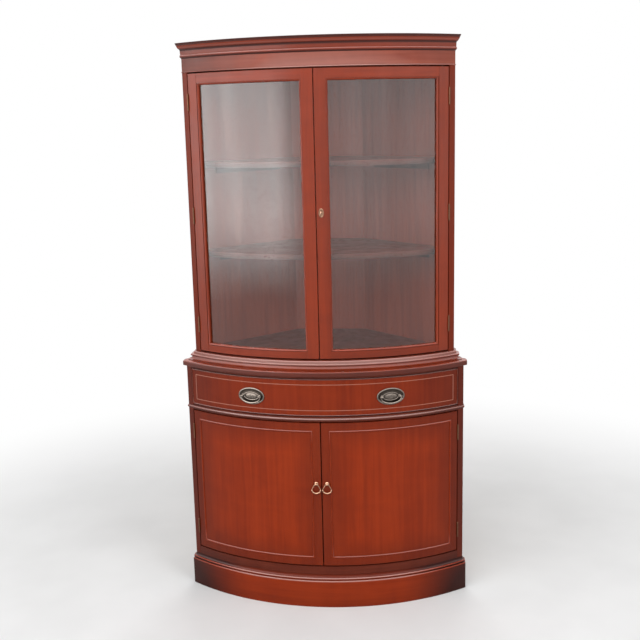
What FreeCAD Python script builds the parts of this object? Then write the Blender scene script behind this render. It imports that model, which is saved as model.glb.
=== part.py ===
import FreeCAD, Part
import math
import os
import re

import Sketcher
from FreeCAD import Placement, Rotation, Vector

# Bow-front corner china cabinet: a glazed hutch on a base with one drawer over two doors.
#
# Every curved face is turned about one vertical line, the bow axis, which stands behind the cabinet.
# Sub-parts are drawn with the bow axis at the origin and the front towards -Y, and their placement
# then moves the axis so that the cabinet's footprint is centred on the origin. Lengths are in mm.
# "Wall line" is where the two room walls, at 45 degrees each side, would cross the centre line.

SIZES = {
    # Plan
    "bow_radius": 736,           # bow axis to the face of the glazed doors
    "hutch_half": 430,           # half width of the hutch
    "base_side": 22,             # the base's straight side, from the bow to the room wall
    "back_half": 122,            # half width of the back that cuts the corner off
    "base_step": 31,             # base face stands this far in front of the hutch face
    "plinth_step": 11,           # plinth stands proud of the base face
    "ledge_step": 11,            # top of the base oversails the base face
    # Heights, stacked from the floor
    "plinth_rise": 113,
    "base_rail_rise": 27,
    "base_door_opening": 498,
    "mid_rail_rise": 17,
    "drawer_opening": 126,
    "top_rail_rise": 7,
    "ledge_rise": 16.5,
    "hutch_floor_rise": 29.5,
    "hutch_door_opening": 904,
    "crown_rise": 91,
    "cornice_rise": 48,
    "cornice_step": 17,
    "cornice_bead": 3.5,
    "cornice_cove": 8.5,
    "cornice_cove_rise": 11,
    "cornice_ovolo": 5,
    "cornice_fascia": 6,
    "cornice_lip": 4,            # top of the frieze below the top of the cornice
    "frieze_bead": 1.8,
    "top_board_drop": 20,
    "plinth_moulding": 24,
    "plinth_ovolo": 4,
    "plinth_quirk": 3,           # flat between the ovolo and the bead
    "plinth_bead": 3,
    "plinth_cove": 5,
    "plinth_cove_rise": 7,
    "quirk": 1,                  # small set-back beside a bead
    "mid_bead_up": 3,
    "mid_bead": 3.5,
    "mid_bead_half": 4.5,        # half the bead's height
    "ledge_round": 4,
    "waist_step": 25,
    "waist_fillet": 2,
    "waist_cove": 12,
    "waist_cove_rise": 11,
    "waist_torus": 3.5,
    "waist_neck": 8,             # the flat above the torus stands this far out
    "waist_fascia": 5,
    "waist_ovolo": 3,
    # Boards and panels
    "wall_panel": 6.4,
    "back_board": 12,
    "board": 18,
    "shelf": 17,
    "shelf_setback": 46,         # hutch face to the front edge of a shelf
    "rail_depth": 22,
    "post_face": 18,             # width of the post seen from the front
    "post_reach": 36,            # depth of the post's square inner face
    "cleat_depth": 16,
    "cleat_rise": 22,
    "cleat_room": 40,            # clear distance from a cleat's ends to the posts and the back
    "lower_shelf_up": 315,       # clear height under the lower shelf
    "shelf_spacing": 291,
    "base_shelf_up": 241,
    # Doors
    "door_gap": 3,
    "door_end_gap": 4,
    "door_depth": 22,
    "base_door_depth": 20,
    "stile_face": 36,
    "top_rail_face": 30,
    "bottom_rail_face": 23,
    "sticking": 6,               # width of the moulded inner edge of the door frame
    "sticking_quirk": 1.5,
    "sticking_depth": 9.5,
    "glass": 3,
    "glass_play": 1,
    "glass_bead": 7,
    "bead_margin": 26,           # base door edge to its applied bead
    "bead_width": 6,
    "bead_proud": 2.6,
    # Drawer
    "drawer_gap": 2.5,
    "cock_bead": 3,
    "cock_bead_proud": 2,
    "drawer_half": 280,
    "drawer_back_play": 11,      # between the drawer's back corners and the walls
    "drawer_side": 12,
    "drawer_side_rise": 88,
    "drawer_bottom": 5,
    "drawer_bottom_up": 8,
    "drawer_slide_play": 0.4,
    "drawer_side_play": 1.5,
    "deck": 12,
    "kicker_play": 6,
    "runner_width": 20,
    "runner_room": 30,
    # Hinges
    "hinge_length": 50,
    "hinge_leaf": 1.3,
    "hinge_leaf_play": 0.04,
    "hinge_leaf_width": 18,
    "hinge_barrel": 2.6,         # radius
    "hinge_proud": 2.4,          # pin centre in front of the face
    "hinge_pin": 1.3,            # radius
    "running_fit": 0.06,         # radial clearance of a turning pin
    "barrel_split": 0.3,
    "hinge_tongue": 0.5,         # gap between a barrel and the broad part of the leaf
    "hutch_hinge_inset": 88,     # door's end to the middle of its end hinges
    "base_hinge_inset": 73,
    # Drawer pulls
    "pull_reach": 228,           # arc length from the centre to each pull
    "pull_low": 3,               # pulls below the middle of the drawer opening
    "plate_half": 46,
    "plate_half_rise": 28,
    "plate": 1.6,
    "plate_rim": 4.5,
    "plate_rim_proud": 1.4,
    "boss_proud": 1.4,
    "boss_half": 22,
    "boss_half_rise": 12,
    "bail_half": 34,
    "bail_corner": 18,
    "bail_sweep": 55,
    "bail_wire": 2,              # radius
    "bail_pin": 1.5,             # radius
    "bail_knuckle": 2.3,
    "bail_stand": 8,             # pivot in front of the drawer face
    "pull_post": 3.6,            # radius of a post's eye
    "pull_post_width": 5,
    "pull_stem": 2.2,
    # Base door pulls
    "drop_reach": 17.5,
    "drop_down": 205,            # top of the door to the drop's pivot
    "drop_stand": 7.8,
    "drop_ring": 14,
    "drop_ring_down": 16,
    "drop_wire": 1.6,
    "drop_ear": 2.2,
    "drop_ear_length": 3.8,
    "drop_eye": 3.4,
    "drop_eye_width": 5,
    "drop_stem": 2.4,
    "drop_play": 0.4,
    "rosette": 7,
    "rosette_depth": 3,
    # Lock
    "key_reach": 16,
    "key_up": 15,                # key above the middle of the door
    "keyhole": 3.2,
    "escutcheon_half": 8,
    "escutcheon_half_rise": 14,
    "escutcheon": 1.2,
    "lock_half": 13,
    "lock_rise": 44,
    "lock_depth": 10,
    "lock_wall": 1.2,
    "lock_play": 0.3,            # the lock sits on the flat back of the stile, inside the bow's curve
    "bolt_rise": 10,
    "bolt_depth": 5,
    "bolt_up": 13,
    "bolt_play": 0.2,
    "bolt_throw": 8,
    "key_shaft": 2,
    "key_stand": 14,             # door face to the near side of the key's bow
    "key_bow": 10,               # radius
    "key_bow_ring": 3.4,
    "key_bow_thick": 2.4,
    "key_collar": 3,
    "key_collar_width": 2.5,
    "key_bit": 5,
    "key_bit_width": 3,
    "key_end_play": 1,
}

# Places worked out from the sizes above.
LAYOUT = {
    "base_radius": "bow_radius + base_step",
    "base_half": "hutch_half + base_step",
    "wall_line": "sqrt(base_radius ^ 2 - base_half ^ 2) - base_half - base_side",
    "back_line": "wall_line + back_half",
    "bow_y": "(base_radius + plinth_step + back_line) / 2",
    "inner_wall_line": "wall_line + wall_panel * sqrt(2)",
    "inner_back_line": "back_line + back_board",
    "mid_rail_bottom": "plinth_rise + base_rail_rise + base_door_opening",
    "drawer_floor": "mid_rail_bottom + mid_rail_rise",
    "ledge_bottom": "drawer_floor + drawer_opening + top_rail_rise",
    "hutch_bottom": "ledge_bottom + ledge_rise",
    "hutch_floor": "hutch_bottom + hutch_floor_rise",
    "frieze_bottom": "hutch_floor + hutch_door_opening",
    "height": "frieze_bottom + crown_rise",
    "base_door_bottom": "plinth_rise + base_rail_rise + door_end_gap",
    "base_door_top": "mid_rail_bottom - door_end_gap",
    "hutch_door_bottom": "hutch_floor + door_end_gap",
    "hutch_door_top": "frieze_bottom - door_end_gap",
    "hutch_post_angle": "asin((hutch_half - post_face) / bow_radius) / 1 deg",
    "base_post_angle": "asin((base_half - post_face) / base_radius) / 1 deg",
    "hutch_gap_angle": "door_gap / bow_radius * 180 / pi",
    "base_gap_angle": "door_gap / base_radius * 180 / pi",
    "drawer_gap_angle": "drawer_gap / base_radius * 180 / pi",
    "hutch_door_angle": "hutch_post_angle - 1.5 * hutch_gap_angle",
    "base_door_angle": "base_post_angle - 1.5 * base_gap_angle",
    "post_inner_x": "(bow_radius - post_reach) * sin(hutch_post_angle)",
    "base_post_inner_x": "(base_radius - post_reach) * sin(base_post_angle)",
    "drawer_front_inner": "base_radius - door_depth",
    "drawer_bottom_z": "drawer_floor + drawer_gap",
    "drawer_top_z": "drawer_floor + drawer_opening - drawer_gap",
    "hutch_hinge_angle": "hutch_post_angle - hutch_gap_angle / 2",
    "base_hinge_angle": "base_post_angle - base_gap_angle / 2",
    "drawer_angle": "2 * (base_post_angle - drawer_gap_angle)",
    "cock_bead_angle": "cock_bead / base_radius * 180 / pi",
    "lock_back": "bow_radius - door_depth - lock_play",
    "drawer_back_line": "inner_wall_line + drawer_half + drawer_back_play",
    "lower_shelf_height": "hutch_floor + lower_shelf_up",
    "upper_shelf_height": "lower_shelf_height + shelf_spacing",
    "base_shelf_height": "plinth_rise + board + base_shelf_up",
    "hutch_door_middle": "(hutch_door_bottom + hutch_door_top) / 2",
    "key_height": "hutch_door_middle + key_up",
    "hutch_hinge_low": "hutch_door_bottom + hutch_hinge_inset",
    "hutch_hinge_high": "hutch_door_top - hutch_hinge_inset",
    "base_hinge_low": "base_door_bottom + base_hinge_inset",
    "base_hinge_high": "base_door_top - base_hinge_inset",
    "pull_height": "drawer_floor + drawer_opening / 2 - pull_low",
    "drop_height": "base_door_top - drop_down",
}

THROUGH = "4 * bow_radius"       # longer than the cabinet is deep
CORNER = "90"                    # angle of the room's corner, degrees
DROP_TIP = 15                    # how far the drop's foot stops short of a half circle, degrees
ROOT_TWO = "sqrt(2)"
OVERCUT = 1                      # how far a cutting tool passes beyond what it cuts
# Pins are round; the turned parts round them are prisms, to keep their faces few.
WIRE_SIDES = 6                   # wires and the stems of posts
PIN_SIDES = 8                    # bores, knuckles and ears
EYE_SIDES = 10
OVAL_CHORDS = 16                 # plates, rosettes and the key's bow

doc = FreeCAD.newDocument("corner_cabinet")
sub_parts = []


# ---------------------------------------------------------------- sheets and expressions

def make_sheet(name, values):
    """A spreadsheet with one aliased value a row."""
    sheet = doc.addObject("Spreadsheet::Sheet", name)
    for row, (alias, value) in enumerate(values.items(), start=1):
        sheet.set(f"A{row}", alias.replace("_", " "))
        sheet.set(f"B{row}", str(value))
        sheet.setAlias(f"B{row}", alias)
    return sheet


def full(expression):
    """The expression with each alias written with its sheet's name."""
    def with_sheet(match):
        word = match.group()
        if word in SIZES:
            return "Sizes." + word
        return "Layout." + word if word in LAYOUT else word
    return re.sub("[a-z][a-z_0-9]*", with_sheet, str(expression))


def bind(obj, path, expression):
    """Ties a property to an expression in the sheets' aliases."""
    obj.setExpression(path, full(expression))


def number(expression):
    """The expression's present value."""
    return float(sizes.evalExpression(full(expression)))


sizes = make_sheet("Sizes", SIZES)
layout = make_sheet("Layout", {alias: "=" + full(text) for alias, text in LAYOUT.items()})
doc.recompute()


# ---------------------------------------------------------------- outlines

def polar(radius, angle):
    """A point at a radius from the bow axis; the angle in degrees opens from -Y towards +X."""
    return (f"({radius}) * sin({angle})", f"-1 * ({radius}) * cos({angle})")


def on_bow(radius, x):
    """A point on the bow of that radius, at a distance x to the right of the centre line."""
    return (x, f"-1 * sqrt(({radius}) ^ 2 - ({x}) ^ 2)")


def on_wall(line, x):
    """A point on a wall plane, at a distance x to the right of the centre line."""
    return (x, f"-1 * ({line}) - ({x})")


def arc(point, radius, turn):
    """The point reached by an arc of that radius, turning left for +1 and right for -1."""
    return (point[0], point[1], radius, turn)


def both_sides(half):
    """The right half of an outline followed by its mirror image, in order round the shape."""
    left = []
    for index in reversed(range(len(half))):
        x, y = half[index][:2]
        after = half[index + 1] if index + 1 < len(half) else ()
        left.append((f"-1 * ({x})", y) + tuple(after[2:]))
    return list(half) + left


def curve(x, y, reach, first, last, steps, rise=None):
    """Points round a moulding's curve about (x, y), from the first angle to the last in degrees.

    The curve is part of a circle of radius reach, or of an ellipse where its rise differs.
    """
    points = []
    for step in range(steps + 1):
        angle = first + (last - first) * step / steps
        points.append((f"{x} + ({reach}) * cos({angle:g})", f"{y} + ({rise or reach}) * sin({angle:g})"))
    return points


def regular(x, y, radius, sides):
    """A regular polygon, flat at its right."""
    turn = 180 / sides
    return curve(x, y, radius, turn, turn + 360, sides)[:-1]


def ellipse(half, rise, y="0"):
    """An ellipse on the centre line, in chords."""
    return curve("0", y, half, 0, 360, OVAL_CHORDS, rise)[:-1]


def arc_centre(start, end, radius, turn):
    """Centre of the arc from start to end, on its left for turn +1."""
    chord = end - start
    rise = math.sqrt(max(radius ** 2 - (chord.Length / 2) ** 2, 0))
    left = Vector(-chord.y, chord.x, 0).normalize()
    return (start + end) / 2 + left * rise * turn


def add_segment(sketch, start, end, item):
    """A line or an arc to the outline item; gives its index and its vertex numbers in order."""
    if len(item) == 2:
        return sketch.addGeometry(Part.LineSegment(start, end), False), 1, 2
    size, turn = number(item[2]), item[3]
    centre = arc_centre(start, end, size, turn)
    first, last = (start, end) if turn > 0 else (end, start)
    begin = math.atan2(first.y - centre.y, first.x - centre.x)
    finish = math.atan2(last.y - centre.y, last.x - centre.x)
    circle = Part.Circle(centre, Vector(0, 0, 1), size)
    index = sketch.addGeometry(Part.ArcOfCircle(circle, begin, finish), False)
    return (index, 1, 2) if turn > 0 else (index, 2, 1)


def draw(sketch, outline, closed=True):
    """Draws the outline and ties every corner and radius to the sheets."""
    corners = [Vector(number(item[0]), number(item[1]), 0) for item in outline]
    count = len(corners)
    segments = []
    for index in range(count if closed else count - 1):
        after = (index + 1) % count
        segments.append(add_segment(sketch, corners[index], corners[after], outline[after]))
    constraints, rules = [], []

    def rule(constraint, expression=None):
        constraints.append(constraint)
        rules.append(expression)

    for index, (segment, first, last) in enumerate(segments):
        x, y = outline[index][:2]
        rule(Sketcher.Constraint("DistanceX", -1, 1, segment, first, corners[index].x), x)
        rule(Sketcher.Constraint("DistanceY", -1, 1, segment, first, corners[index].y), y)
        target = outline[(index + 1) % count]
        if len(target) == 4:
            rule(Sketcher.Constraint("Radius", segment, number(target[2])), target[2])
        if closed or index + 1 < len(segments):
            following = segments[(index + 1) % len(segments)]
            rule(Sketcher.Constraint("Coincident", segment, last, following[0], following[1]))
    if not closed:
        segment, _, last = segments[-1]
        rule(Sketcher.Constraint("DistanceX", -1, 1, segment, last, corners[-1].x), outline[-1][0])
        rule(Sketcher.Constraint("DistanceY", -1, 1, segment, last, corners[-1].y), outline[-1][1])
    sketch.addConstraint(constraints)
    for index, expression in enumerate(rules):
        if expression is not None:
            bind(sketch, f"Constraints[{index}]", expression)


def add_sketch(body, plane, outline, closed=True):
    """A sketch on one of the body's origin planes."""
    sketch = body.newObject("Sketcher::SketchObject", "Sketch")
    origin = next(item for item in body.Origin.OriginFeatures if item.Role == plane)
    sketch.AttachmentSupport = [(origin, "")]
    sketch.MapMode = "FlatFace"
    draw(sketch, outline, closed)
    return sketch


# ---------------------------------------------------------------- solids

def swing(obj, angle, side=1):
    """Stands an object drawn about the bow axis in place, swung to one side (+1 is the right)."""
    if angle != "0":
        obj.Placement = Placement(obj.Placement.Base, Rotation(Vector(0, 0, side), 1))
        bind(obj, "Placement.Rotation.Angle", angle)
    bind(obj, "Placement.Base.y", "bow_y")
    return obj


def add_body(label, start="0", angle="0", side=1):
    body = doc.addObject("PartDesign::Body", "Body")
    body.Label = label
    if start != "0":
        bind(body, "Placement.Base.z", start)
    return swing(body, angle, side)


def pad(label, outline, length, start="0", angle="0", side=1):
    """A plan outline made as thick as length, from the start height up."""
    body = add_body(label, start, angle, side)
    feature = body.newObject("PartDesign::Pad", "Pad")
    feature.Profile = add_sketch(body, "XY_Plane", outline)
    bind(feature, "Length", length)
    return body


def run_back(label, outline, start="0"):
    """A front-view outline run straight back through the whole depth."""
    body = add_body(label, start)
    feature = body.newObject("PartDesign::Pad", "Pad")
    feature.Profile = add_sketch(body, "XZ_Plane", outline)
    feature.SideType = "Symmetric"
    bind(feature, "Length", THROUGH)
    return body


def turned(label, outline, angle, start="0", middle="0"):
    """A (radius, height) outline turned about the bow axis, half the angle each side of the middle.

    The middle is an angle from the centre line towards the left.
    """
    body = add_body(label, start, middle, -1)
    section = []
    for item in outline:
        mirror_turn = (item[2], -item[3]) if len(item) == 4 else ()
        section.append((f"-1 * ({item[0]})", item[1]) + mirror_turn)
    sketch = add_sketch(body, "YZ_Plane", section)
    feature = body.newObject("PartDesign::Revolution", "Revolution")
    feature.Profile = sketch
    feature.ReferenceAxis = (sketch, ["V_Axis"])
    feature.Midplane = True
    bind(feature, "Angle", angle)
    return body


def plate(label, outline, radius, proud, sunk="0"):
    """A front-view outline made proud of the bow of that radius; it starts sunk behind the face."""
    body = doc.addObject("PartDesign::Body", "Body")
    body.Label = label
    feature = body.newObject("PartDesign::Pad", "Pad")
    feature.Profile = add_sketch(body, "XZ_Plane", outline)
    bind(feature, "Length", f"({proud}) + ({sunk})")
    bind(body, "Placement.Base.y", f"({sunk}) - ({radius})")
    return body


def rod(label, radius, length, axis, at):
    """A cylinder centred on a point, along the X, Y or Z axis."""
    shape = doc.addObject("Part::Cylinder", "Cylinder")
    shape.Label = label
    bind(shape, "Radius", radius)
    bind(shape, "Height", length)
    return centred(shape, length, axis, at)


def prism(label, sides, radius, length, axis, at):
    """A regular prism centred on a point, along the X, Y or Z axis."""
    shape = doc.addObject("Part::Prism", "Prism")
    shape.Label = label
    shape.Polygon = sides
    bind(shape, "Circumradius", radius)
    bind(shape, "Height", length)
    return centred(shape, length, axis, at)


def pin_bore(pin, length, axis, at):
    """The hole that a round pin turns in, with flats at the pin's radius and a running fit."""
    radius = f"({pin} + running_fit) / cos(180 / {PIN_SIDES})"
    return prism("bore", PIN_SIDES, radius, length, axis, at)


def centred(shape, length, axis, at):
    """Lays a round or regular shape along an axis, with its middle at a point."""
    turns = {"X": Rotation(Vector(0, 1, 0), 90), "Y": Rotation(Vector(1, 0, 0), -90), "Z": Rotation()}
    shape.Placement = Placement(Vector(), turns[axis])
    for name, place in zip("XYZ", at):
        centre = f"({place}) - ({length}) / 2" if name == axis else place
        bind(shape, f"Placement.Base.{name.lower()}", centre)
    return shape


def block(label, low, size):
    """A box from its low corner and its size."""
    shape = doc.addObject("Part::Box", "Box")
    shape.Label = label
    for name, length in zip(("Length", "Width", "Height"), size):
        bind(shape, name, length)
    for name, place in zip("xyz", low):
        bind(shape, f"Placement.Base.{name}", place)
    return shape


def combine(kind, label, shapes):
    """A Part::MultiFuse or Part::MultiCommon of several shapes."""
    joined = doc.addObject("Part::" + kind, kind)
    joined.Label = label
    joined.Shapes = shapes
    return joined


def cut(label, base, tool):
    rest = doc.addObject("Part::Cut", "Cut")
    rest.Label = label
    rest.Base = base
    rest.Tool = tool
    return rest


def group(label, shapes):
    """Separate solids that share one node."""
    bundle = doc.addObject("Part::Compound", "Compound")
    bundle.Label = label
    bundle.Links = shapes
    return bundle


def mirrored(label, source):
    """The source's mirror image on the other side of the centre line."""
    image = doc.addObject("Part::Mirroring", "Mirroring")
    image.Label = label
    image.Source = source
    image.Normal = Vector(1, 0, 0)
    return image


def keep(label, obj):
    """Makes the object a sub-part under its own name."""
    obj.Label = label
    sub_parts.append(obj)
    return obj


def keep_both(name, part, left_obj):
    """A sub-part of the left-hand door and its mirror image on the right-hand one."""
    keep(f"{name}_left_{part}", left_obj)
    keep(f"{name}_right_{part}", mirrored(part, left_obj))


def pair(label, right_obj):
    """A piece and its mirror image in one node."""
    return keep(label, group(label, [right_obj, mirrored(right_obj.Label + "_left", right_obj)]))


# ---------------------------------------------------------------- case sections

def room_corner():
    """The space in front of the two wall planes and the cut-off corner, at full height."""
    wide = "base_half + plinth_step + ledge_step + waist_step"
    half = [
        ("back_line - wall_line", "-1 * back_line"),
        on_wall("wall_line", wide),
        (wide, "-2 * bow_radius"),
    ]
    return pad("room_corner", both_sides(half), "height")


def run_round(label, profile, radius, half, start):
    """A moulded board: its (projection, height) profile turned about the bow axis along the front,
    run straight back along both sides, and cut off at the walls."""
    inner = "back_line / 2"
    front = [(inner, profile[0][1])]
    front += [(f"{radius} + ({item[0]})",) + tuple(item[1:]) for item in profile]
    front += [(inner, profile[-1][1])]
    sides = [(f"{half} + ({item[0]})",) + tuple(item[1:]) for item in profile]
    bow = turned(label + "_front", front, CORNER, start)
    straight = run_back(label + "_sides", both_sides(sides), start)
    return combine("MultiCommon", label, [bow, straight, corner])


def moulding(label, profile, radius, half, start, inner_radius, inner_half):
    """A moulding that runs round the front and sides, hollow inside the inner radius and half width."""
    core_half = [
        (inner_half, "0"),
        on_bow(inner_radius, inner_half),
    ]
    outline = both_sides(core_half)
    outline[2] = arc(outline[2], inner_radius, -1)
    core = pad(label + "_core", outline, "height")
    return keep(label, cut(label, run_round(label + "_solid", profile, radius, half, start), core))


def board(label, radius, half, start, thick):
    """A board between the wall panels, with a bowed front edge."""
    right = [
        on_bow(radius, half),
        on_wall("inner_wall_line", half),
        ("inner_back_line - inner_wall_line", "-1 * inner_back_line"),
    ]
    outline = both_sides(right)
    outline[0] = arc(outline[0], radius, 1)
    return keep(label, pad(label, outline, thick, start))


def bow_rail(label, radius, angle, start, rise):
    """A bent rail between the posts, square in section."""
    section = square_section(f"{radius} - rail_depth", radius, "0", rise)
    return keep(label, turned(label, section, f"2 * {angle}", start))


def square_section(inner, outer, low, high):
    return [(inner, low), (outer, low), (outer, high), (inner, high)]


def posts(label, radius, half, angle, inner_x, start, rise):
    """Front posts: bowed face, square inner face for the door, back cut to the wall."""
    outline = [
        polar(radius, angle),
        arc(on_bow(radius, half), radius, 1),
        on_wall("wall_line", half),
        on_wall("wall_line", inner_x),
        polar(f"{radius} - post_reach", angle),
    ]
    pair(label, pad(label + "_right", outline, rise, start))


def walls(label, inner_x, start, rise):
    """The panels at 45 degrees, from the posts to the back plane."""
    outline = [
        on_wall("wall_line", inner_x),
        ("back_line - wall_line", "-1 * back_line"),
        ("back_line - inner_wall_line", "-1 * back_line"),
        on_wall("inner_wall_line", inner_x),
    ]
    pair(label, pad(label + "_right", outline, rise, start))


def back(label, start, rise):
    """The upright board across the cut-off corner, between the two wall panels."""
    half = [
        ("inner_back_line - inner_wall_line", "-1 * inner_back_line"),
        ("back_line - inner_wall_line", "-1 * back_line"),
    ]
    keep(label, pad(label, both_sides(half), rise, start))


def cleats(top, inner_x):
    """Two battens on the wall panels, under the ends of a shelf."""
    near, far = f"{inner_x} - cleat_room", "inner_back_line - inner_wall_line + cleat_room"
    face = f"inner_wall_line + cleat_depth * {ROOT_TWO}"
    outline = [
        on_wall("inner_wall_line", near),
        on_wall("inner_wall_line", far),
        on_wall(face, far),
        on_wall(face, near),
    ]
    right = pad("cleat", outline, "cleat_rise", f"{top} - cleat_rise")
    return [right, mirrored("cleat_left", right)]


# ---------------------------------------------------------------- base

def plinth():
    """Plain board with a bevelled edge, a bead set back on it, and a cove up to the base face."""
    step, top = "plinth_step", "plinth_rise - plinth_moulding"
    quirk = f"{step} - plinth_ovolo - quirk"
    bead_low = f"{top} + plinth_ovolo + plinth_quirk"
    bead_top = f"{bead_low} + 2 * plinth_bead"
    profile = [(step, "0")]
    profile += curve(f"{step} - plinth_ovolo", top, "plinth_ovolo", 0, 90, 1)
    profile += [(quirk, f"{top} + plinth_ovolo")]
    profile += curve(quirk, f"{bead_low} + plinth_bead", "plinth_bead", -90, 90, 2)
    profile += curve("plinth_cove", f"{bead_top} + plinth_cove_rise", "plinth_cove", -90, -180, 2,
                     "plinth_cove_rise")
    profile += [("0", "plinth_rise")]
    moulding("plinth_front", profile, "base_radius", "base_half", "0",
             "base_radius - board", "base_half - board")
    # Boards under the wall panels and the back, open towards the front.
    reach = "base_half - board"
    inner_line = f"wall_line + board * {ROOT_TWO}"
    half = [
        (f"back_line + board - ({inner_line})", "-1 * back_line - board"),
        on_wall(inner_line, reach),
        on_wall("wall_line", reach),
        ("back_line - wall_line", "-1 * back_line"),
    ]
    keep("plinth_back", pad("plinth_back", both_sides(half), "plinth_rise"))


def runners():
    """Guides beside the drawer box, and kickers over its sides."""
    guide_x = "drawer_half + drawer_side_play"
    reach = f"{guide_x} + runner_width"
    front = f"bow_y - sqrt(drawer_front_inner ^ 2 - ({reach}) ^ 2) + runner_room"
    length = f"sqrt(drawer_front_inner ^ 2 - ({reach}) ^ 2) - inner_wall_line - ({reach}) - 2 * runner_room"
    guide = block("guide", (guide_x, front, "drawer_floor"), ("runner_width", length, "runner_width"))
    low = "drawer_floor + drawer_slide_play + drawer_side_rise + kicker_play"
    kicker = block("kicker", ("drawer_half - runner_width", front, low),
                   ("runner_width", length, f"ledge_bottom - ({low})"))
    pieces = [guide, mirrored("guide_left", guide), kicker, mirrored("kicker_left", kicker)]
    keep("drawer_runners", group("drawer_runners", pieces))


def base():
    radius, half, angle = "base_radius", "base_half", "base_post_angle"
    inner_x, inside = "base_post_inner_x", "base_radius - rail_depth"
    rise = "ledge_bottom - plinth_rise"
    plinth()
    posts("base_posts", radius, half, angle, inner_x, "plinth_rise", rise)
    walls("base_walls", inner_x, "plinth_rise", rise)
    back("base_back", "plinth_rise", rise)
    bow_rail("base_rail", radius, angle, "plinth_rise", "base_rail_rise")
    bow_rail("mid_rail", radius, angle, "mid_rail_bottom", "mid_rail_rise")
    bow_rail("base_top_rail", radius, angle, "ledge_bottom - top_rail_rise", "top_rail_rise")
    board("base_bottom", inside, inner_x, "plinth_rise", "board")
    board("base_shelf", "base_radius - shelf_setback", inner_x, "base_shelf_height", "board")
    board("drawer_deck", inside, inner_x, "drawer_floor - deck", "deck")
    bead = curve("0", "mid_bead_up + mid_bead_half", "mid_bead", -90, 90, 2, "mid_bead_half")
    moulding("mid_bead", bead, radius, half, "mid_rail_bottom", radius, half)
    ledge = [("ledge_step", "0")]
    ledge += curve("ledge_step - ledge_round", "ledge_rise - ledge_round", "ledge_round", 0, 90, 2)
    keep("base_top", run_round("base_top", ledge, radius, half, "ledge_bottom"))
    runners()


# ---------------------------------------------------------------- hutch

def waist_moulding():
    """Fillet, wide cove, torus, a flat and a bevel up to the hutch face."""
    torus_low = "waist_fillet + waist_cove_rise"
    torus_top = f"{torus_low} + 2 * waist_torus"
    ovolo_low = f"{torus_top} + waist_fascia"
    profile = [("waist_step", "0")]
    profile += curve("waist_step", torus_low, "waist_cove", -90, -180, 2, "waist_cove_rise")
    profile += curve("waist_step - waist_cove + quirk", f"{torus_low} + waist_torus", "waist_torus",
                     -90, 90, 2)
    profile += [("waist_neck", torus_top)]
    profile += curve("waist_neck - waist_ovolo", ovolo_low, "waist_ovolo", 0, 90, 1)
    profile += [("0", f"{ovolo_low} + waist_ovolo")]
    moulding("waist_moulding", profile, "bow_radius", "hutch_half", "hutch_bottom",
             "bow_radius", "hutch_half")


def crown():
    """The frieze with its bead, and the cornice planted on it: bead, cove, bevel and fascia."""
    frieze = curve("0", "frieze_bead", "frieze_bead", -90, 90, 2)
    frieze += [("0", "crown_rise - cornice_lip")]
    moulding("frieze", frieze, "bow_radius", "hutch_half", "frieze_bottom",
             "bow_radius - rail_depth", "post_inner_x")
    low = "crown_rise - cornice_rise"
    bead_top = f"{low} + 2 * cornice_bead"
    fascia = "crown_rise - cornice_fascia"
    ovolo = "cornice_step - quirk - cornice_ovolo"
    cove_top = f"{fascia} - cornice_ovolo"
    cornice = [("0", low)]
    cornice += curve("0", f"{low} + cornice_bead", "cornice_bead", -90, 90, 2)[1:]
    cornice += [(f"{ovolo} - cornice_cove", bead_top)]
    cornice += curve(ovolo, f"{cove_top} - cornice_cove_rise", "cornice_cove", 180, 90, 2,
                     "cornice_cove_rise")
    cornice += curve(ovolo, fascia, "cornice_ovolo", -90, 0, 1)[1:]
    cornice += [("cornice_step", fascia), ("cornice_step", "crown_rise")]
    moulding("cornice", cornice, "bow_radius", "hutch_half", "frieze_bottom",
             "bow_radius", "hutch_half")


def hutch():
    radius, half, angle = "bow_radius", "hutch_half", "hutch_post_angle"
    inner_x, inside = "post_inner_x", "bow_radius - rail_depth"
    wall_rise = "height - cornice_lip - hutch_bottom"
    waist_moulding()
    posts("hutch_posts", radius, half, angle, inner_x, "hutch_bottom", "frieze_bottom - hutch_bottom")
    walls("hutch_walls", inner_x, "hutch_bottom", wall_rise)
    back("hutch_back", "hutch_bottom", wall_rise)
    bow_rail("hutch_bottom_rail", radius, angle, "hutch_bottom", "hutch_floor_rise")
    board("hutch_bottom", inside, inner_x, "hutch_floor - board", "board")
    board("shelf_lower", "bow_radius - shelf_setback", inner_x, "lower_shelf_height", "shelf")
    board("shelf_upper", "bow_radius - shelf_setback", inner_x, "upper_shelf_height", "shelf")
    board("hutch_top", inside, inner_x, "height - top_board_drop - board", "board")
    crown()
    battens = cleats("lower_shelf_height", inner_x) + cleats("upper_shelf_height", inner_x)
    battens += cleats("base_shelf_height", "base_post_inner_x")
    keep("shelf_cleats", group("shelf_cleats", battens))


# ---------------------------------------------------------------- glazed doors

def along(length, radius):
    """The angle in degrees that a length takes up on a bow of that radius."""
    return f"({length}) / {radius} * 180 / pi"


def sticking_points(edge):
    """(Depth, width) points of the moulded edge of the door frame: a quirk and a bevel to the glass."""
    return [("sticking_quirk", edge), ("sticking_depth", f"{edge} + sticking")]


def stile(label, side, edge_angle):
    """A door stile from its outer edge towards the opening; side is +1 where that is to the right."""
    def spot(depth, width):
        return polar(f"bow_radius - ({depth})", f"{side} * {along(width, 'bow_radius')}")

    outline = [spot("0", "0"), arc(spot("0", "stile_face"), "bow_radius", side)]
    outline += [spot(depth, width) for depth, width in sticking_points("stile_face")]
    outline += [
        arc(spot("sticking_depth", "stile_face"), "bow_radius - sticking_depth", -side),
        spot("door_depth", "stile_face"),
        spot("door_depth", "0"),
    ]
    return pad(label, outline, "hutch_door_top - hutch_door_bottom", "hutch_door_bottom", edge_angle, -1)


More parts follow.
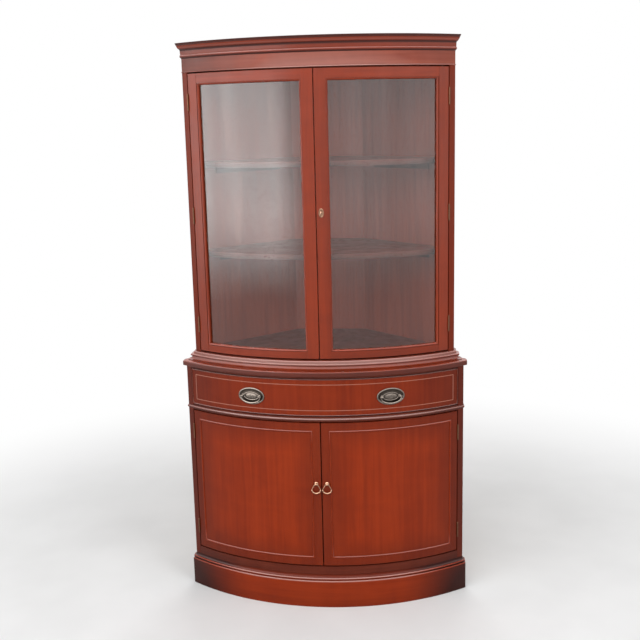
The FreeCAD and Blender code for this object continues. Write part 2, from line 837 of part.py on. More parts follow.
def coped_rail(label, face, way, edge, stiles, middle, window):
    """A door rail with the stiles' moulded edge cut out of its ends; way is +1 on the bottom rail."""
    def spot(depth, width):
        return (f"bow_radius - ({depth})", f"{edge} + {way} * ({width})")

    section = [spot("door_depth", "0"), spot("0", "0"), spot("0", face)]
    section += [spot(depth, width) for depth, width in sticking_points(face)]
    section += [spot("sticking_depth", face), spot("door_depth", face)]
    blank = turned(label + "_blank", section, window, middle=middle)
    return cut(label, blank, stiles)


def window_ring(label, inner, outer, low, high, angle, middle, width, width_radius):
    """A square-edged ring round a window of a bent door, as deep as inner to outer."""
    ring = turned(label + "_outside", square_section(inner, outer, low, high), angle, middle=middle)
    section = square_section(f"{inner} - {OVERCUT}", f"{outer} + {OVERCUT}", f"{low} + {width}",
                             f"{high} - {width}")
    hole = turned(label + "_inside", section, f"{angle} - 2 * {along(width, width_radius)}", middle=middle)
    return cut(label, ring, hole)


def glazed_doors():
    name = "hutch_door"
    half_gap = "hutch_gap_angle / 2"
    middle = f"({half_gap} + hutch_door_angle / 2)"
    window = f"hutch_door_angle - 2 * {along('stile_face', 'bow_radius')}"
    hinge_stile = stile("hinge_stile", 1, f"{half_gap} + hutch_door_angle")
    meeting_stile = stile("meeting_stile", -1, half_gap)
    stiles = combine("MultiFuse", "stiles", [hinge_stile, meeting_stile])
    rails = [
        coped_rail("bottom_rail", "bottom_rail_face", 1, "hutch_door_bottom", stiles, middle, window),
        coped_rail("top_rail", "top_rail_face", -1, "hutch_door_top", stiles, middle, window),
    ]
    low, high = "hutch_door_bottom + bottom_rail_face", "hutch_door_top - top_rail_face"
    front = "bow_radius - sticking_depth"
    pane = turned("pane", square_section(f"{front} - glass", front, f"{low} + glass_play",
                                         f"{high} - glass_play"),
                  f"{window} - 2 * {along('glass_play', 'bow_radius')}", middle=middle)
    beads = window_ring("beads", f"{front} - glass - glass_bead", f"{front} - glass", low, high,
                        window, middle, "sticking", "bow_radius")
    keep_both(name, "hinge_stile", hinge_stile)
    keep_both(name, "rails", group("rails", rails))
    keep_both(name, "glass", pane)
    keep_both(name, "glass_beads", beads)
    keep(name + "_left_meeting_stile", meeting_stile)
    keyhole = pin_bore("keyhole", "door_depth * 3", "Y", ("0", "-1 * bow_radius", "key_height"))
    bored = cut("bored", mirrored("right_meeting", meeting_stile),
                swing(group("keyhole", [keyhole]), along("key_reach", "bow_radius")))
    keep(name + "_right_meeting_stile", bored)
    lock()


def lock():
    """Escutcheon, rim lock and its bolt, and the key; drawn on the centre line and swung aside."""
    place = along("key_reach", "bow_radius")
    centre = "key_height"
    face = "-1 * lock_back"
    escutcheon = cut("escutcheon",
                     plate("escutcheon_plate", ellipse("escutcheon_half", "escutcheon_half_rise", centre),
                           "bow_radius", "escutcheon"),
                     pin_bore("keyhole", "door_depth", "Y", ("0", "-1 * bow_radius", centre)))
    width, low = "2 * lock_half", f"{centre} - lock_rise / 2"
    shell = block("lock_shell", ("-1 * lock_half", face, low), (width, "lock_depth", "lock_rise"))
    walls_off = "- 2 * lock_wall"
    cavity = block("lock_cavity",
                   ("-1 * lock_half + lock_wall", f"{face} + lock_wall", f"{low} + lock_wall"),
                   (f"{width} {walls_off}", f"lock_depth {walls_off}", f"lock_rise {walls_off}"))
    bolt_low = f"{centre} + bolt_up - bolt_rise / 2"
    bolt_front = f"{face} + (lock_depth - bolt_depth) / 2"
    slot = block("bolt_slot",
                 (f"-1 * lock_half - {OVERCUT}", f"{bolt_front} - bolt_play", f"{bolt_low} - bolt_play"),
                 ("lock_half", "bolt_depth + 2 * bolt_play", "bolt_rise + 2 * bolt_play"))
    bore = pin_bore("key_shaft", "4 * lock_wall", "Y", ("0", face, centre))
    case = cut("lock_case", shell, combine("MultiFuse", "lock_hollow", [cavity, slot, bore]))
    keep("hutch_door_right_lock", swing(group("lock", [escutcheon, case]), place))
    bolt = block("bolt", ("-1 * lock_half", bolt_front, bolt_low),
                 ("2 * lock_half - lock_wall - bolt_throw", "bolt_depth", "bolt_rise"))
    keep("lock_bolt", swing(group("bolt_unit", [bolt]), place))
    inner_end = f"{face} + lock_depth - lock_wall - key_end_play"
    outer_end = "-1 * bow_radius - key_stand - key_bow_ring / 2"
    shaft = rod("key_shaft", "key_shaft", f"({inner_end}) - ({outer_end})", "Y",
                ("0", f"(({inner_end}) + ({outer_end})) / 2", centre))
    collar = prism("key_collar", EYE_SIDES, "key_collar", "key_collar_width", "Y",
                   ("0", "-1 * bow_radius - escutcheon - key_collar_width", centre))
    ring_at = ("0", "-1 * bow_radius - key_stand - key_bow", centre)
    ring = cut("key_ring",
               prism("key_ring_outside", OVAL_CHORDS, "key_bow", "key_bow_thick", "X", ring_at),
               prism("key_ring_inside", OVAL_CHORDS, "key_bow - key_bow_ring", "2 * key_bow_thick", "X",
                     ring_at))
    bit = block("key_bit", ("-1 * lock_wall / 2", f"{inner_end} - key_bit_width", f"{centre} - key_bit"),
                ("lock_wall", "key_bit_width", "key_bit"))
    keep("key", swing(combine("MultiFuse", "key_solid", [shaft, collar, ring, bit]), place))


# ---------------------------------------------------------------- base doors

def base_doors():
    name = "base_door"
    middle = "(base_gap_angle / 2 + base_door_angle / 2)"
    inner = "base_radius - base_door_depth"
    section = square_section(inner, "base_radius", "base_door_bottom", "base_door_top")
    keep_both(name, "panel", turned("panel", section, "base_door_angle", middle=middle))
    ring = window_ring("bead_ring", "base_radius", "base_radius + bead_proud",
                       "base_door_bottom + bead_margin", "base_door_top - bead_margin",
                       f"base_door_angle - 2 * {along('bead_margin', 'base_radius')}", middle,
                       "bead_width", "base_radius")
    keep_both(name, "bead", ring)
    post, drop = drop_pull()
    place = along("drop_reach", "base_radius")
    keep_both(name, "pull_post", swing(post, place, -1))
    keep_both(name, "drop", swing(drop, place, -1))


def wire(label, points, radius, y, z):
    """A wire along a line in the front plane, mitred where the line turns."""
    body = doc.addObject("PartDesign::Body", "Body")
    body.Label = label
    feature = body.newObject("PartDesign::AdditivePipe", "Pipe")
    feature.Profile = add_sketch(body, "XY_Plane", regular(points[0][0], "0", radius, WIRE_SIDES))
    feature.Spine = (add_sketch(body, "XZ_Plane", points, closed=False), [])
    feature.Transition = "Right corner"
    bind(body, "Placement.Base.y", y)
    bind(body, "Placement.Base.z", z)
    return body


def drop_pull():
    """A rosette with a pierced eye, and the drop that hangs from it."""
    pivot = ("0", "-1 * base_radius - drop_stand", "drop_height")
    rosette = prism("rosette", OVAL_CHORDS, "rosette", "rosette_depth", "Y",
                    ("0", "-1 * base_radius - rosette_depth / 2", "drop_height"))
    stem = prism("stem", WIRE_SIDES, "drop_stem", "drop_stand", "Y",
                 ("0", "-1 * base_radius - drop_stand / 2", "drop_height"))
    eye = prism("eye", EYE_SIDES, "drop_eye", "drop_eye_width", "X", pivot)
    bore = pin_bore("drop_wire", "2 * drop_eye_width", "X", pivot)
    post = cut("pull_post", combine("MultiFuse", "pull_post_solid", [rosette, stem, eye]), bore)
    shoulder = "(drop_eye_width / 2 + drop_wire + drop_play)"
    foot = curve("0", "-1 * drop_ring_down", "drop_ring", DROP_TIP - 180, -DROP_TIP, 8)
    path = [(f"-1 * {shoulder}", "0")] + foot + [(shoulder, "0")]
    pieces = [wire("drop_wire", path, "drop_wire", pivot[1], pivot[2]),
              rod("drop_pin", "drop_wire", f"2 * ({shoulder} + drop_wire)", "X", pivot)]
    for tip in (foot[0], foot[-1]):
        at = (tip[0], pivot[1], f"drop_height + {tip[1]}")
        pieces.append(prism("ear", PIN_SIDES, "drop_ear", "drop_ear_length", "Y", at))
    return post, combine("MultiFuse", "drop_solid", pieces)


# ---------------------------------------------------------------- drawer

def drawer():
    front_angle = "(drawer_angle - 2 * cock_bead_angle)"
    section = square_section("drawer_front_inner", "base_radius", "drawer_bottom_z + cock_bead",
                             "drawer_top_z - cock_bead")
    keep("drawer_front", turned("drawer_front", section, front_angle))
    ring = window_ring("cock_ring", "drawer_front_inner", "base_radius + cock_bead_proud",
                       "drawer_bottom_z", "drawer_top_z", "drawer_angle", "0", "cock_bead", "base_radius")
    keep("drawer_cock_bead", ring)
    inside = "drawer_half - drawer_side"
    low = "drawer_floor + drawer_slide_play"
    side = [
        on_bow("drawer_front_inner", inside),
        arc(on_bow("drawer_front_inner", "drawer_half"), "drawer_front_inner", 1),
        ("drawer_half", "-1 * drawer_back_line"),
        (inside, "-1 * drawer_back_line"),
    ]
    right = pad("drawer_side", side, "drawer_side_rise", low)
    end = block("drawer_end", (f"-1 * ({inside})", "bow_y - drawer_back_line - drawer_side", low),
                (f"2 * ({inside})", "drawer_side", "drawer_side_rise"))
    keep("drawer_box", group("drawer_box", [right, mirrored("drawer_side_left", right), end]))
    half = [
        on_bow("drawer_front_inner", inside),
        (inside, "-1 * drawer_back_line - drawer_side"),
    ]
    outline = both_sides(half)
    outline[0] = arc(outline[0], "drawer_front_inner", 1)
    keep("drawer_bottom", pad("drawer_bottom", outline, "drawer_bottom", f"{low} + drawer_bottom_up"))
    drawer_pulls()


def drawer_pulls():
    """Two oval plates with raised rims and bosses, their pierced posts, and the bails."""
    place = along("pull_reach", "base_radius")
    plates = swing(pull_plate(), place)
    keep("drawer_pull_plates", group("pull_plates", [plates, mirrored("pull_plate_left", plates)]))
    bail = keep("bail_right", swing(pull_bail(), place))
    keep("bail_left", mirrored("bail_left", bail))


def pull_plate():
    """An oval plate let over the bow of the drawer front, with a raised rim, a boss and two eyes."""
    sunk, height = "plate", "pull_height"
    outer = ellipse("plate_half", "plate_half_rise", height)
    inner = ellipse("plate_half - plate_rim", "plate_half_rise - plate_rim", height)
    blank = plate("plate_blank", outer, "base_radius", "plate + plate_rim_proud", sunk)
    dish = plate("plate_dish", inner, "base_radius + plate", "2 * plate_rim_proud")
    boss = plate("plate_boss", ellipse("boss_half", "boss_half_rise", height), "base_radius",
                 "plate + boss_proud", sunk)
    behind = rod("drawer_face", "base_radius", "4 * plate_half_rise", "Z", ("0", "0", height))
    dished = cut("plate_dished", blank, dish)
    solid = cut("plate_solid", combine("MultiFuse", "plate_bossed", [dished, boss]), behind)
    pieces, bores = [solid], []
    for side in (-1, 1):
        eye_x = f"{side} * (bail_half - bail_wire - drop_play - pull_post_width / 2)"
        at = (eye_x, "-1 * base_radius - bail_stand", height)
        pieces.append(prism("eye", PIN_SIDES, "pull_post", "pull_post_width", "X", at))
        pieces.append(prism("stem", WIRE_SIDES, "pull_stem", "bail_stand", "Y",
                            (eye_x, "-1 * base_radius - bail_stand / 2", height)))
        bores.append(pin_bore("bail_pin", "2 * pull_post_width", "X", at))
    joined = combine("MultiFuse", "pull_plate_solid", pieces)
    return cut("pull_plate", joined, combine("MultiFuse", "bores", bores))


def pull_bail():
    """A wire handle: two quarter bends and a flatter sweep, with pins turned in at its ends."""
    run, reach = "(bail_half - bail_corner)", "(bail_sweep - bail_corner)"
    rise, sweep = f"sqrt({reach} ^ 2 - {run} ^ 2)", number(f"asin({run} / {reach})")
    right = curve(run, "0", "bail_corner", sweep - 90, 0, 4)
    left = [(f"-1 * ({x})", z) for x, z in reversed(right)]
    path = left + curve("0", rise, "bail_sweep", -90 - sweep, sweep - 90, 4)[1:-1] + right
    pivot_y = "-1 * base_radius - bail_stand"
    pieces = [wire("bail_wire", path, "bail_wire", pivot_y, "pull_height")]
    for side in (-1, 1):
        knuckle = (f"{side} * bail_half", pivot_y, "pull_height")
        inward = (f"{side} * (bail_half - pull_post_width / 2)", pivot_y, "pull_height")
        pieces.append(prism("bail_knuckle", PIN_SIDES, "bail_knuckle", "2 * bail_wire", "X", knuckle))
        pieces.append(rod("bail_pin", "bail_pin", "pull_post_width", "X", inward))
    return combine("MultiFuse", "bail", pieces)


# ---------------------------------------------------------------- hinges

def hinge(radius, low, side):
    """One butt hinge at the front of the bow: the leaf on the case (-1) or the leaf on the door (+1)."""
    pin_y = f"-1 * ({radius} + hinge_proud)"
    near = "door_gap / 2 - hinge_leaf_play"
    leaf_x = f"-1 * ({near})" if side < 0 else f"{near} - hinge_leaf"
    set_in = "hinge_barrel + hinge_tongue"
    third = "(hinge_length - 2 * barrel_split) / 3"
    leaf = block("leaf", (leaf_x, f"{pin_y} + {set_in}", low),
                 ("hinge_leaf", f"hinge_leaf_width + hinge_proud - ({set_in})", "hinge_length"))
    if side < 0:
        knuckles = [(low, third), (f"{low} + 2 * ({third} + barrel_split)", third)]
    else:
        knuckles = [(f"{low} + {third} + barrel_split", third)]
    pieces = [leaf]
    for start, rise in knuckles:
        barrel_at = ("0", pin_y, f"{start} + ({rise}) / 2")
        pieces.append(block("tongue", (leaf_x, pin_y, start), ("hinge_leaf", set_in, rise)))
        pieces.append(prism("barrel", PIN_SIDES, "hinge_barrel", rise, "Z", barrel_at))
    middle = ("0", pin_y, f"{low} + hinge_length / 2")
    if side < 0:
        pieces.append(rod("pin", "hinge_pin", "hinge_length - 2 * hinge_barrel", "Z", middle))
        return combine("MultiFuse", "case_leaf", pieces)
    bore = pin_bore("hinge_pin", "hinge_length", "Z", middle)
    return cut("door_leaf", combine("MultiFuse", "door_leaf_solid", pieces), bore)


def hinges():
    """Butt hinges in the gaps between posts and doors, barrels standing in front of the faces."""
    case_sets = []
    for name, radius, angle, heights in (
            ("hutch_door", "bow_radius", "hutch_hinge_angle",
             ("hutch_hinge_low", "hutch_door_middle", "hutch_hinge_high")),
            ("base_door", "base_radius", "base_hinge_angle", ("base_hinge_low", "base_hinge_high"))):
        lows = [f"({height} - hinge_length / 2)" for height in heights]
        case = swing(group("case_leaves", [hinge(radius, low, -1) for low in lows]), angle, -1)
        case_sets += [case, mirrored("case_leaves_right", case)]
        door = swing(group("door_leaves", [hinge(radius, low, 1) for low in lows]), angle, -1)
        keep_both(name, "hinges", door)
    keep("case_hinges", group("case_hinges", case_sets))


# ---------------------------------------------------------------- build and write

def check():
    """Stops if any object failed to build or any sub-part has no sound shape."""
    for obj in doc.Objects:
        if "Invalid" in obj.State or "Error" in obj.State:
            raise RuntimeError(f"{obj.Label} ({obj.Name}) failed: {obj.State}")
    for obj in sub_parts:
        shape = obj.Shape
        if shape.isNull() or not shape.isValid() or not shape.Solids:
            raise RuntimeError(f"{obj.Label} has no sound solid")


def write():
    os.makedirs("parts", exist_ok=True)
    for obj in sub_parts:
        obj.Shape.exportStep(f"parts/{obj.Label}.step")


corner = room_corner()
base()
hutch()
glazed_doors()
base_doors()
drawer()
hinges()
doc.recompute()
check()
write()
print(len(sub_parts), "sub-parts")
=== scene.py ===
import math

import bmesh
import bpy
from mathutils import Matrix, Vector

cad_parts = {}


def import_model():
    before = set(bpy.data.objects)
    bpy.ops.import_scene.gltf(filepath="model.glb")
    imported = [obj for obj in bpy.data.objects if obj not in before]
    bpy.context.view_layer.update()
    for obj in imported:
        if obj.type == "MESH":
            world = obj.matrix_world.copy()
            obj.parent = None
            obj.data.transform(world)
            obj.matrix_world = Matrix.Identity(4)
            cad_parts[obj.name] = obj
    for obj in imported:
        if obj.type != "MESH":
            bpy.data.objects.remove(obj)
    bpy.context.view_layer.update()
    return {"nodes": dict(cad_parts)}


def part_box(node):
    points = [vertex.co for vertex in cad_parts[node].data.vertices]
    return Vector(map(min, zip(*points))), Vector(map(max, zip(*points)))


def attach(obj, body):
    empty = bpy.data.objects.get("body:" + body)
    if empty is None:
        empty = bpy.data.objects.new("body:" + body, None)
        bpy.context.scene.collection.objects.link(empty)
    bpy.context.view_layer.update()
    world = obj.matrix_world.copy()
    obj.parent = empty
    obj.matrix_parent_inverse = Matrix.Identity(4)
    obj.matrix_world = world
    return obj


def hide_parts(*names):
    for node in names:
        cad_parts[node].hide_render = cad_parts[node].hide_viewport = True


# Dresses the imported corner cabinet: mouldings, bent doors, glass, brass and polished mahogany.
#
# Everything on the front follows two bows about one upright line, the bow axis, behind the cabinet.
# A place on a bow is a radius, an angle in radians (positive to the right) and a height.
# Lengths are in metres; tables that say so are in mm.

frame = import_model()
BOXES = {name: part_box(name) for name in frame["nodes"]}
MM = 0.001


def low(node):
    return BOXES[node][0]


def high(node):
    return BOXES[node][1]


def heights(node):
    return low(node).z, high(node).z


def mid_height(node):
    return sum(heights(node)) / 2


# ---- sizes

BOW = 736 * MM  # bow axis to the glazed doors' faces
BASE_BOW = 767 * MM  # bow axis to the faces of the drawer and the lower doors
AXIS_Y = low("drawer_front").y + BASE_BOW
HALF = high("hutch_posts").x
BASE_HALF = high("base_posts").x
PLINTH_STEP = low("drawer_front").y - low("plinth_front").y
LEDGE_STEP = low("drawer_front").y - low("base_top").y
WAIST_STEP = AXIS_Y - BOW - low("waist_moulding").y
CORNICE_STEP = AXIS_Y - BOW - low("cornice").y
BACK_LINE = AXIS_Y - high("base_back").y
WALL_SHEET = 6.4 * MM
BACK_BOARD = 12 * MM
INNER_WALL_LINE = AXIS_Y - low("base_walls").y - high("base_walls").x
WALL_LINE = INNER_WALL_LINE - WALL_SHEET * math.sqrt(2)
INNER_BACK_LINE = BACK_LINE + BACK_BOARD

BOARD = 18 * MM
RAIL_DEPTH = 22 * MM
POST_FACE = 18 * MM
POST_REACH = 36 * MM
POST_ANGLE = math.asin((HALF - POST_FACE) / BOW)
BASE_POST_ANGLE = math.asin((BASE_HALF - POST_FACE) / BASE_BOW)
POST_INNER = (BOW - POST_REACH) * math.sin(POST_ANGLE)
SHELF_SETBACK = 46 * MM

GAP = 3 * MM  # between the doors, and beside the posts
DOOR_DEPTH = 22 * MM  # glazed doors and drawer front
LOWER_DOOR_DEPTH = 20 * MM
STILE = 36 * MM
TOP_RAIL = 30 * MM
BOTTOM_RAIL = 23 * MM
STICKING = 6 * MM
GLASS_DEPTH = 9.5 * MM  # door face to the front of the glass
GLASS = 3 * MM
GLASS_PLAY = 1 * MM  # round the pane
GLASS_BEAD = 7 * MM
BEAD_MARGIN = 26 * MM  # lower door's edge to its bead
BEAD_WIDTH = 6 * MM
BEAD_PROUD = 2.6 * MM
COCK_BEAD = 3 * MM
COCK_BEAD_PROUD = 2 * MM
STRING_MARGIN = 17 * MM  # cock bead to the inlaid line
STRING_WIDTH = 2.4 * MM
STRING_PROUD = 0.05 * MM
STRING_DEPTH = 0.5 * MM
SUNK = 0.2 * MM  # trim starts this far under the face

EASE = 0.6 * MM  # rounding of the boards' edges
FINE_EASE = 0.3 * MM  # of rails and mouldings
SHELF_EASE = 1.0 * MM
DRAWER_EASE = 0.2 * MM
FACET = 14 * MM  # longest chord along a bow
RING_STEPS = 6  # steps up each upright side of a frame on the bow
LONG_RUN = 6 * MM  # a straight run of a moulding that gets points near its ends
EDGE_STRIP = 1.2 * MM  # how near
SHARP = math.radians(33)  # edges sharper than this are eased and shaded as edges


# ---- places

def bow_point(radius, angle, z):
    return Vector((radius * math.sin(angle), AXIS_Y - radius * math.cos(angle), z))


def wall_point(line, x, z):
    """A point on a wall plane; line is where the plane crosses the middle, before the bow axis."""
    return Vector((x, AXIS_Y - line - abs(x), z))


def mix(start, end, share):
    return start + (end - start) * share


def spaced(start, end, count):
    return [mix(start, end, index / count) for index in range(count + 1)]


def circle(sides):
    """The angles of a circle's points."""
    return spaced(0, math.tau, sides)[:-1]


def chords(length):
    """Number of chords that keep a bow of that length smooth."""
    return max(2, math.ceil(abs(length) / FACET))


def curve(x, z, reach, rise, first, last, count=8):
    """Points round part of an ellipse about (x, z), between two angles in degrees."""
    points = []
    for degrees in spaced(first, last, count):
        turn = math.radians(degrees)
        points.append((x + reach * math.cos(turn), z + rise * math.sin(turn)))
    return points


def soft(value, start, end):
    """0 before start, 1 after end, and a smooth rise between."""
    share = min(max((value - start) / (end - start), 0), 1)
    return share * share * (3 - 2 * share)


# ---- meshes

def loft(bm, rings, closed=False):
    """A skin over rings of equal length; capped at its ends unless it goes all the way round."""
    rows = [[bm.verts.new(point) for point in ring] for ring in rings]
    count = len(rows[0])
    pairs = list(zip(rows, rows[1:]))
    if closed:
        pairs.append((rows[-1], rows[0]))
    for near, far in pairs:
        for index in range(count):
            after = (index + 1) % count
            bm.faces.new((near[index], near[after], far[after], far[index]))
    if not closed:
        bm.faces.new(rows[0])
        bm.faces.new(rows[-1][::-1])


def bow_sweep(bm, section, start, end):
    """A (radius, height) section carried round the bow from one angle to another."""
    rings = []
    for angle in spaced(start, end, chords((end - start) * BASE_BOW)):
        rings.append([bow_point(radius, angle, z) for radius, z in section])
    loft(bm, rings)


def bow_board(bm, inner, outer, start, end, z0, z1, rows=1):
    """A bent board; rows divides its front face up the height."""
    face = [(outer, z) for z in spaced(z0, z1, rows)]
    bow_sweep(bm, [(inner, z0)] + face + [(inner, z1)], start, end)


def bow_ring(bm, radius, start, end, z0, z1, section):
    """A mitred frame round a window on the bow; its section is (inset, projection) points."""
    across = chords((end - start) * radius)
    stations = [(share, 0) for share in spaced(0, 1, across)][:-1]
    stations += [(1, share) for share in spaced(0, 1, RING_STEPS)][:-1]
    stations += [(share, 1) for share in spaced(1, 0, across)][:-1]
    stations += [(0, share) for share in spaced(1, 0, RING_STEPS)][:-1]
    rings = []
    for along, height in stations:
        ring = []
        for inset, out in section:
            turn = inset / radius
            angle = mix(start + turn, end - turn, along)
            ring.append(bow_point(radius + out, angle, mix(z0 + inset, z1 - inset, height)))
        rings.append(ring)
    loft(bm, rings, closed=True)


def refined(section):
    """Adds points near the ends of long straight runs, so that edge shading stays at the edges."""
    points = []
    for start, end in zip(section, section[1:]):
        points.append(start)
        run = math.dist(start, end)
        if run > LONG_RUN:
            for share in (EDGE_STRIP / run, 1 - EDGE_STRIP / run):
                points.append((mix(start[0], end[0], share), mix(start[1], end[1], share)))
    return points + [section[-1]]


def moulding(bm, radius, half, base, section, inner=None):
    """A (projection, height) section carried round the front and back along both sides to the walls.

    inner is the radius and half width of the hollow behind it; without one, the section closes itself.
    """
    outline = [(radius + out, half + out, rise) for out, rise in refined(section)]
    if inner:
        outline += [(*inner, section[-1][1]), (*inner, section[0][1])]
    rings = []
    for share in [None] + spaced(1, -1, chords(2 * half)) + [None]:
        side = -1 if rings else 1
        ring = []
        for reach, x, rise in outline:
            if share is None:
                ring.append(wall_point(WALL_LINE, side * x, base + rise))
            else:
                ring.append(bow_point(reach, share * math.asin(x / reach), base + rise))
        rings.append(ring)
    loft(bm, rings)


def plan(radius, half, wall_line, back_line, z):
    """The outline of a board that fills the case: bowed front, walls at 45 degrees, cut-off corner."""
    corner = math.asin(half / radius)
    turns = spaced(-corner, corner, chords(2 * BASE_HALF))
    back = back_line - wall_line
    return ([bow_point(radius, angle, z) for angle in turns]
            + [wall_point(wall_line, x, z) for x in (half, back, -back, -half)])


def tube(bm, points, radii, sides=14, closed=False):
    """A round wire through the points, as thick at each as its radius."""
    rings, normal, count = [], None, len(points)
    for index, point in enumerate(points):
        before = points[index - 1] if index or closed else point
        after = points[(index + 1) % count] if index + 1 < count or closed else point
        tangent = (after - before).normalized()
        normal = normal or tangent.orthogonal()
        normal = (normal - tangent * normal.dot(tangent)).normalized()
        across = tangent.cross(normal)
        ring = []
        for turn in circle(sides):
            ring.append(point + (normal * math.cos(turn) + across * math.sin(turn)) * radii[index])
        rings.append(ring)
    loft(bm, rings, closed)


def lathe(bm, section, at, axis, sides=28):
    """A (distance along the axis, radius) section turned about an axis through a point."""
    turn = Vector(axis).to_track_quat("Z", "Y")
    rings = []
    for along, radius in section:
        ring = []
        for angle in circle(sides):
            ring.append(at + turn @ Vector((radius * math.cos(angle), radius * math.sin(angle), along)))
        rings.append(ring)
    loft(bm, rings)


def ball(radius, squash=1.0, middle=0.0):
    """A lathe section for a ball about a place on the axis; it stops just short of the poles."""
    section = []
    for degrees in spaced(-88, 88, 10):
        turn = math.radians(degrees)
        section.append((middle + radius * squash * math.sin(turn), radius * math.cos(turn)))
    return section


def in_mm(rows):
    """A table in mm as a list in metres."""
    return [tuple(value * MM for value in row) for row in rows]


def knobbed(stem, radius, stand):
    """A lathe section from a table in mm, ended by a ball about stand."""
    section = in_mm(stem)
    return section + [point for point in ball(radius, middle=stand) if point[0] > section[-1][0]]


def block(bm, place, middle, size):
    """A box about a point, in the frame of a place."""
    matrix = place @ Matrix.Translation(Vector(middle)) @ Matrix.Diagonal(Vector((*size, 1.0)))
    bmesh.ops.create_cube(bm, size=1.0, matrix=matrix)


def oval_rings(radius, angle, height, sizes, sides=56):
    """Ovals on the bow, one for each (half width, half height, projection)."""
    rings = []
    for half, rise, out in sizes:
        ring = []
        for turn in circle(sides):
            spot = angle + half * math.cos(turn) / radius
            ring.append(bow_point(radius + out, spot, height + rise * math.sin(turn)))
        rings.append(ring)
    return rings


def ease(bm, width):
    """Rounds the outer edges a little, as sanding does."""
    edges = []
    for edge in bm.edges:
        if len(edge.link_faces) == 2 and edge.is_convex and edge.calc_face_angle() > SHARP:
            edges.append(edge)
    bmesh.ops.bevel(bm, geom=edges, offset=width, segments=2, affect="EDGES", clamp_overlap=True)


def new_object(name, data):
    made = bpy.data.objects.new(name, data)
    bpy.context.scene.collection.objects.link(made)
    return made


def new_mesh(name, bm):
    mesh = bpy.data.meshes.new(name)
    bm.to_mesh(mesh)
    bm.free()
    return mesh


def piece(name, draw, material, body, nodes=(), easing=0.0, shade=None, wear_sheen_and_shade=0.0):
    """A piece of the cabinet: drawn, eased, smoothed, finished, and set to move with its body.

    shade gives the painted shade at a place, or the painted highlight where it is below 0. The last
    argument is how much upward faces get a painted sheen and downward faces painted shade.
    """
    bm = bmesh.new()
    draw(bm)
    bmesh.ops.recalc_face_normals(bm, faces=bm.faces)
    if easing:
        ease(bm, easing)
    mesh = new_mesh(name, bm)
    mesh.polygons.foreach_set("use_smooth", [True] * len(mesh.polygons))
    mesh.set_sharp_from_angle(angle=SHARP)
    mesh.materials.append(material)
    tones = []
    for vertex in mesh.vertices:
        rise = vertex.normal.z
        tone = shade(vertex.co) if shade else 0.0
        # painted shade on downward faces, painted sheen on upward ones
        tones.append(tone + wear_sheen_and_shade * (soft(-rise, 0.2, 0.9) - soft(rise, 0.12, 0.5)))
    mesh.attributes.new("shade", "FLOAT", "POINT").data.foreach_set("value", tones)
    made = new_object(name, mesh)
    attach(made, body)
    if nodes:
        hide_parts(*nodes)


# ---- finishes


def new_material(name):
    """An empty material and its tree."""
    material = bpy.data.materials.new(name)
    material.use_nodes = True
    material.node_tree.nodes.clear()
    return material, material.node_tree


def add(tree, kind, inputs=(), **settings):
    """A node with its settings; an input is a value or the socket that feeds it."""
    node = tree.nodes.new("ShaderNode" + kind)
    for name, value in settings.items():
        setattr(node, name, value)
    for socket, value in dict(inputs).items():
        if isinstance(value, bpy.types.NodeSocket):
            tree.links.new(value, node.inputs[socket])
        else:
            node.inputs[socket].default_value = value
    return node


def maths(tree, operation, *values):
    return add(tree, "Math", enumerate(values), operation=operation).outputs[0]


def blend(tree, share, first, second):
    return add(tree, "Mix", {0: share, 6: first, 7: second}, data_type="RGBA").outputs[2]


def noise(tree, vector, scale, detail=3.0, roughness=0.5, distortion=0.0):
    inputs = {"Vector": vector, "Scale": scale, "Detail": detail, "Roughness": roughness,
              "Distortion": distortion}
    return add(tree, "TexNoise", inputs).outputs["Fac"]


def limits(tree, value, low_in, high_in, low_out=0.0, high_out=1.0):
    inputs = {0: value, 1: low_in, 2: high_in, 3: low_out, 4: high_out}
    return add(tree, "MapRange", inputs, interpolation_type="SMOOTHSTEP").outputs[0]


def stretched(tree, vector, scale):
    return add(tree, "VectorMath", {0: vector, 1: scale}, operation="MULTIPLY").outputs[0]


def bumped(tree, strength, distance, height):
    inputs = {"Strength": strength, "Distance": distance, "Height": height}
    return add(tree, "Bump", inputs).outputs[0]


def principled(tree, inputs):
    add(tree, "OutputMaterial", {0: add(tree, "BsdfPrincipled", inputs).outputs[0]})


def from_axis(tree):
    """A place: to the right, forward of the bow axis, and up."""
    right, back, up = add(tree, "SeparateXYZ", {0: add(tree, "TexCoord").outputs["Object"]}).outputs
    return right, maths(tree, "SUBTRACT", AXIS_Y, back), up


def unrolled(tree):
    """Places on the cabinet with the bow laid flat: arc length, distance from the axis, height."""
    right, forward, up = from_axis(tree)
    squares = [maths(tree, "POWER", value, 2.0) for value in (right, forward)]
    reach = maths(tree, "SQRT", maths(tree, "ADD", *squares))
    arc = maths(tree, "MULTIPLY", maths(tree, "ARCTAN2", right, forward), BASE_BOW)
    return add(tree, "CombineXYZ", {0: arc, 1: reach, 2: up}).outputs[0]


def colour(red, green, blue):
    return (red, green, blue, 1.0)


WHITE = colour(1.0, 1.0, 1.0)
# The colour that shade above 0 leads to: painted shade, with the lower panels' toner. Below it, the
# painted highlight that shade below 0 leads to.
SHADE_AND_TONER = colour(0.03, 0.006, 0.004)
PAINTED_HIGHLIGHT = colour(0.48, 0.3, 0.27)


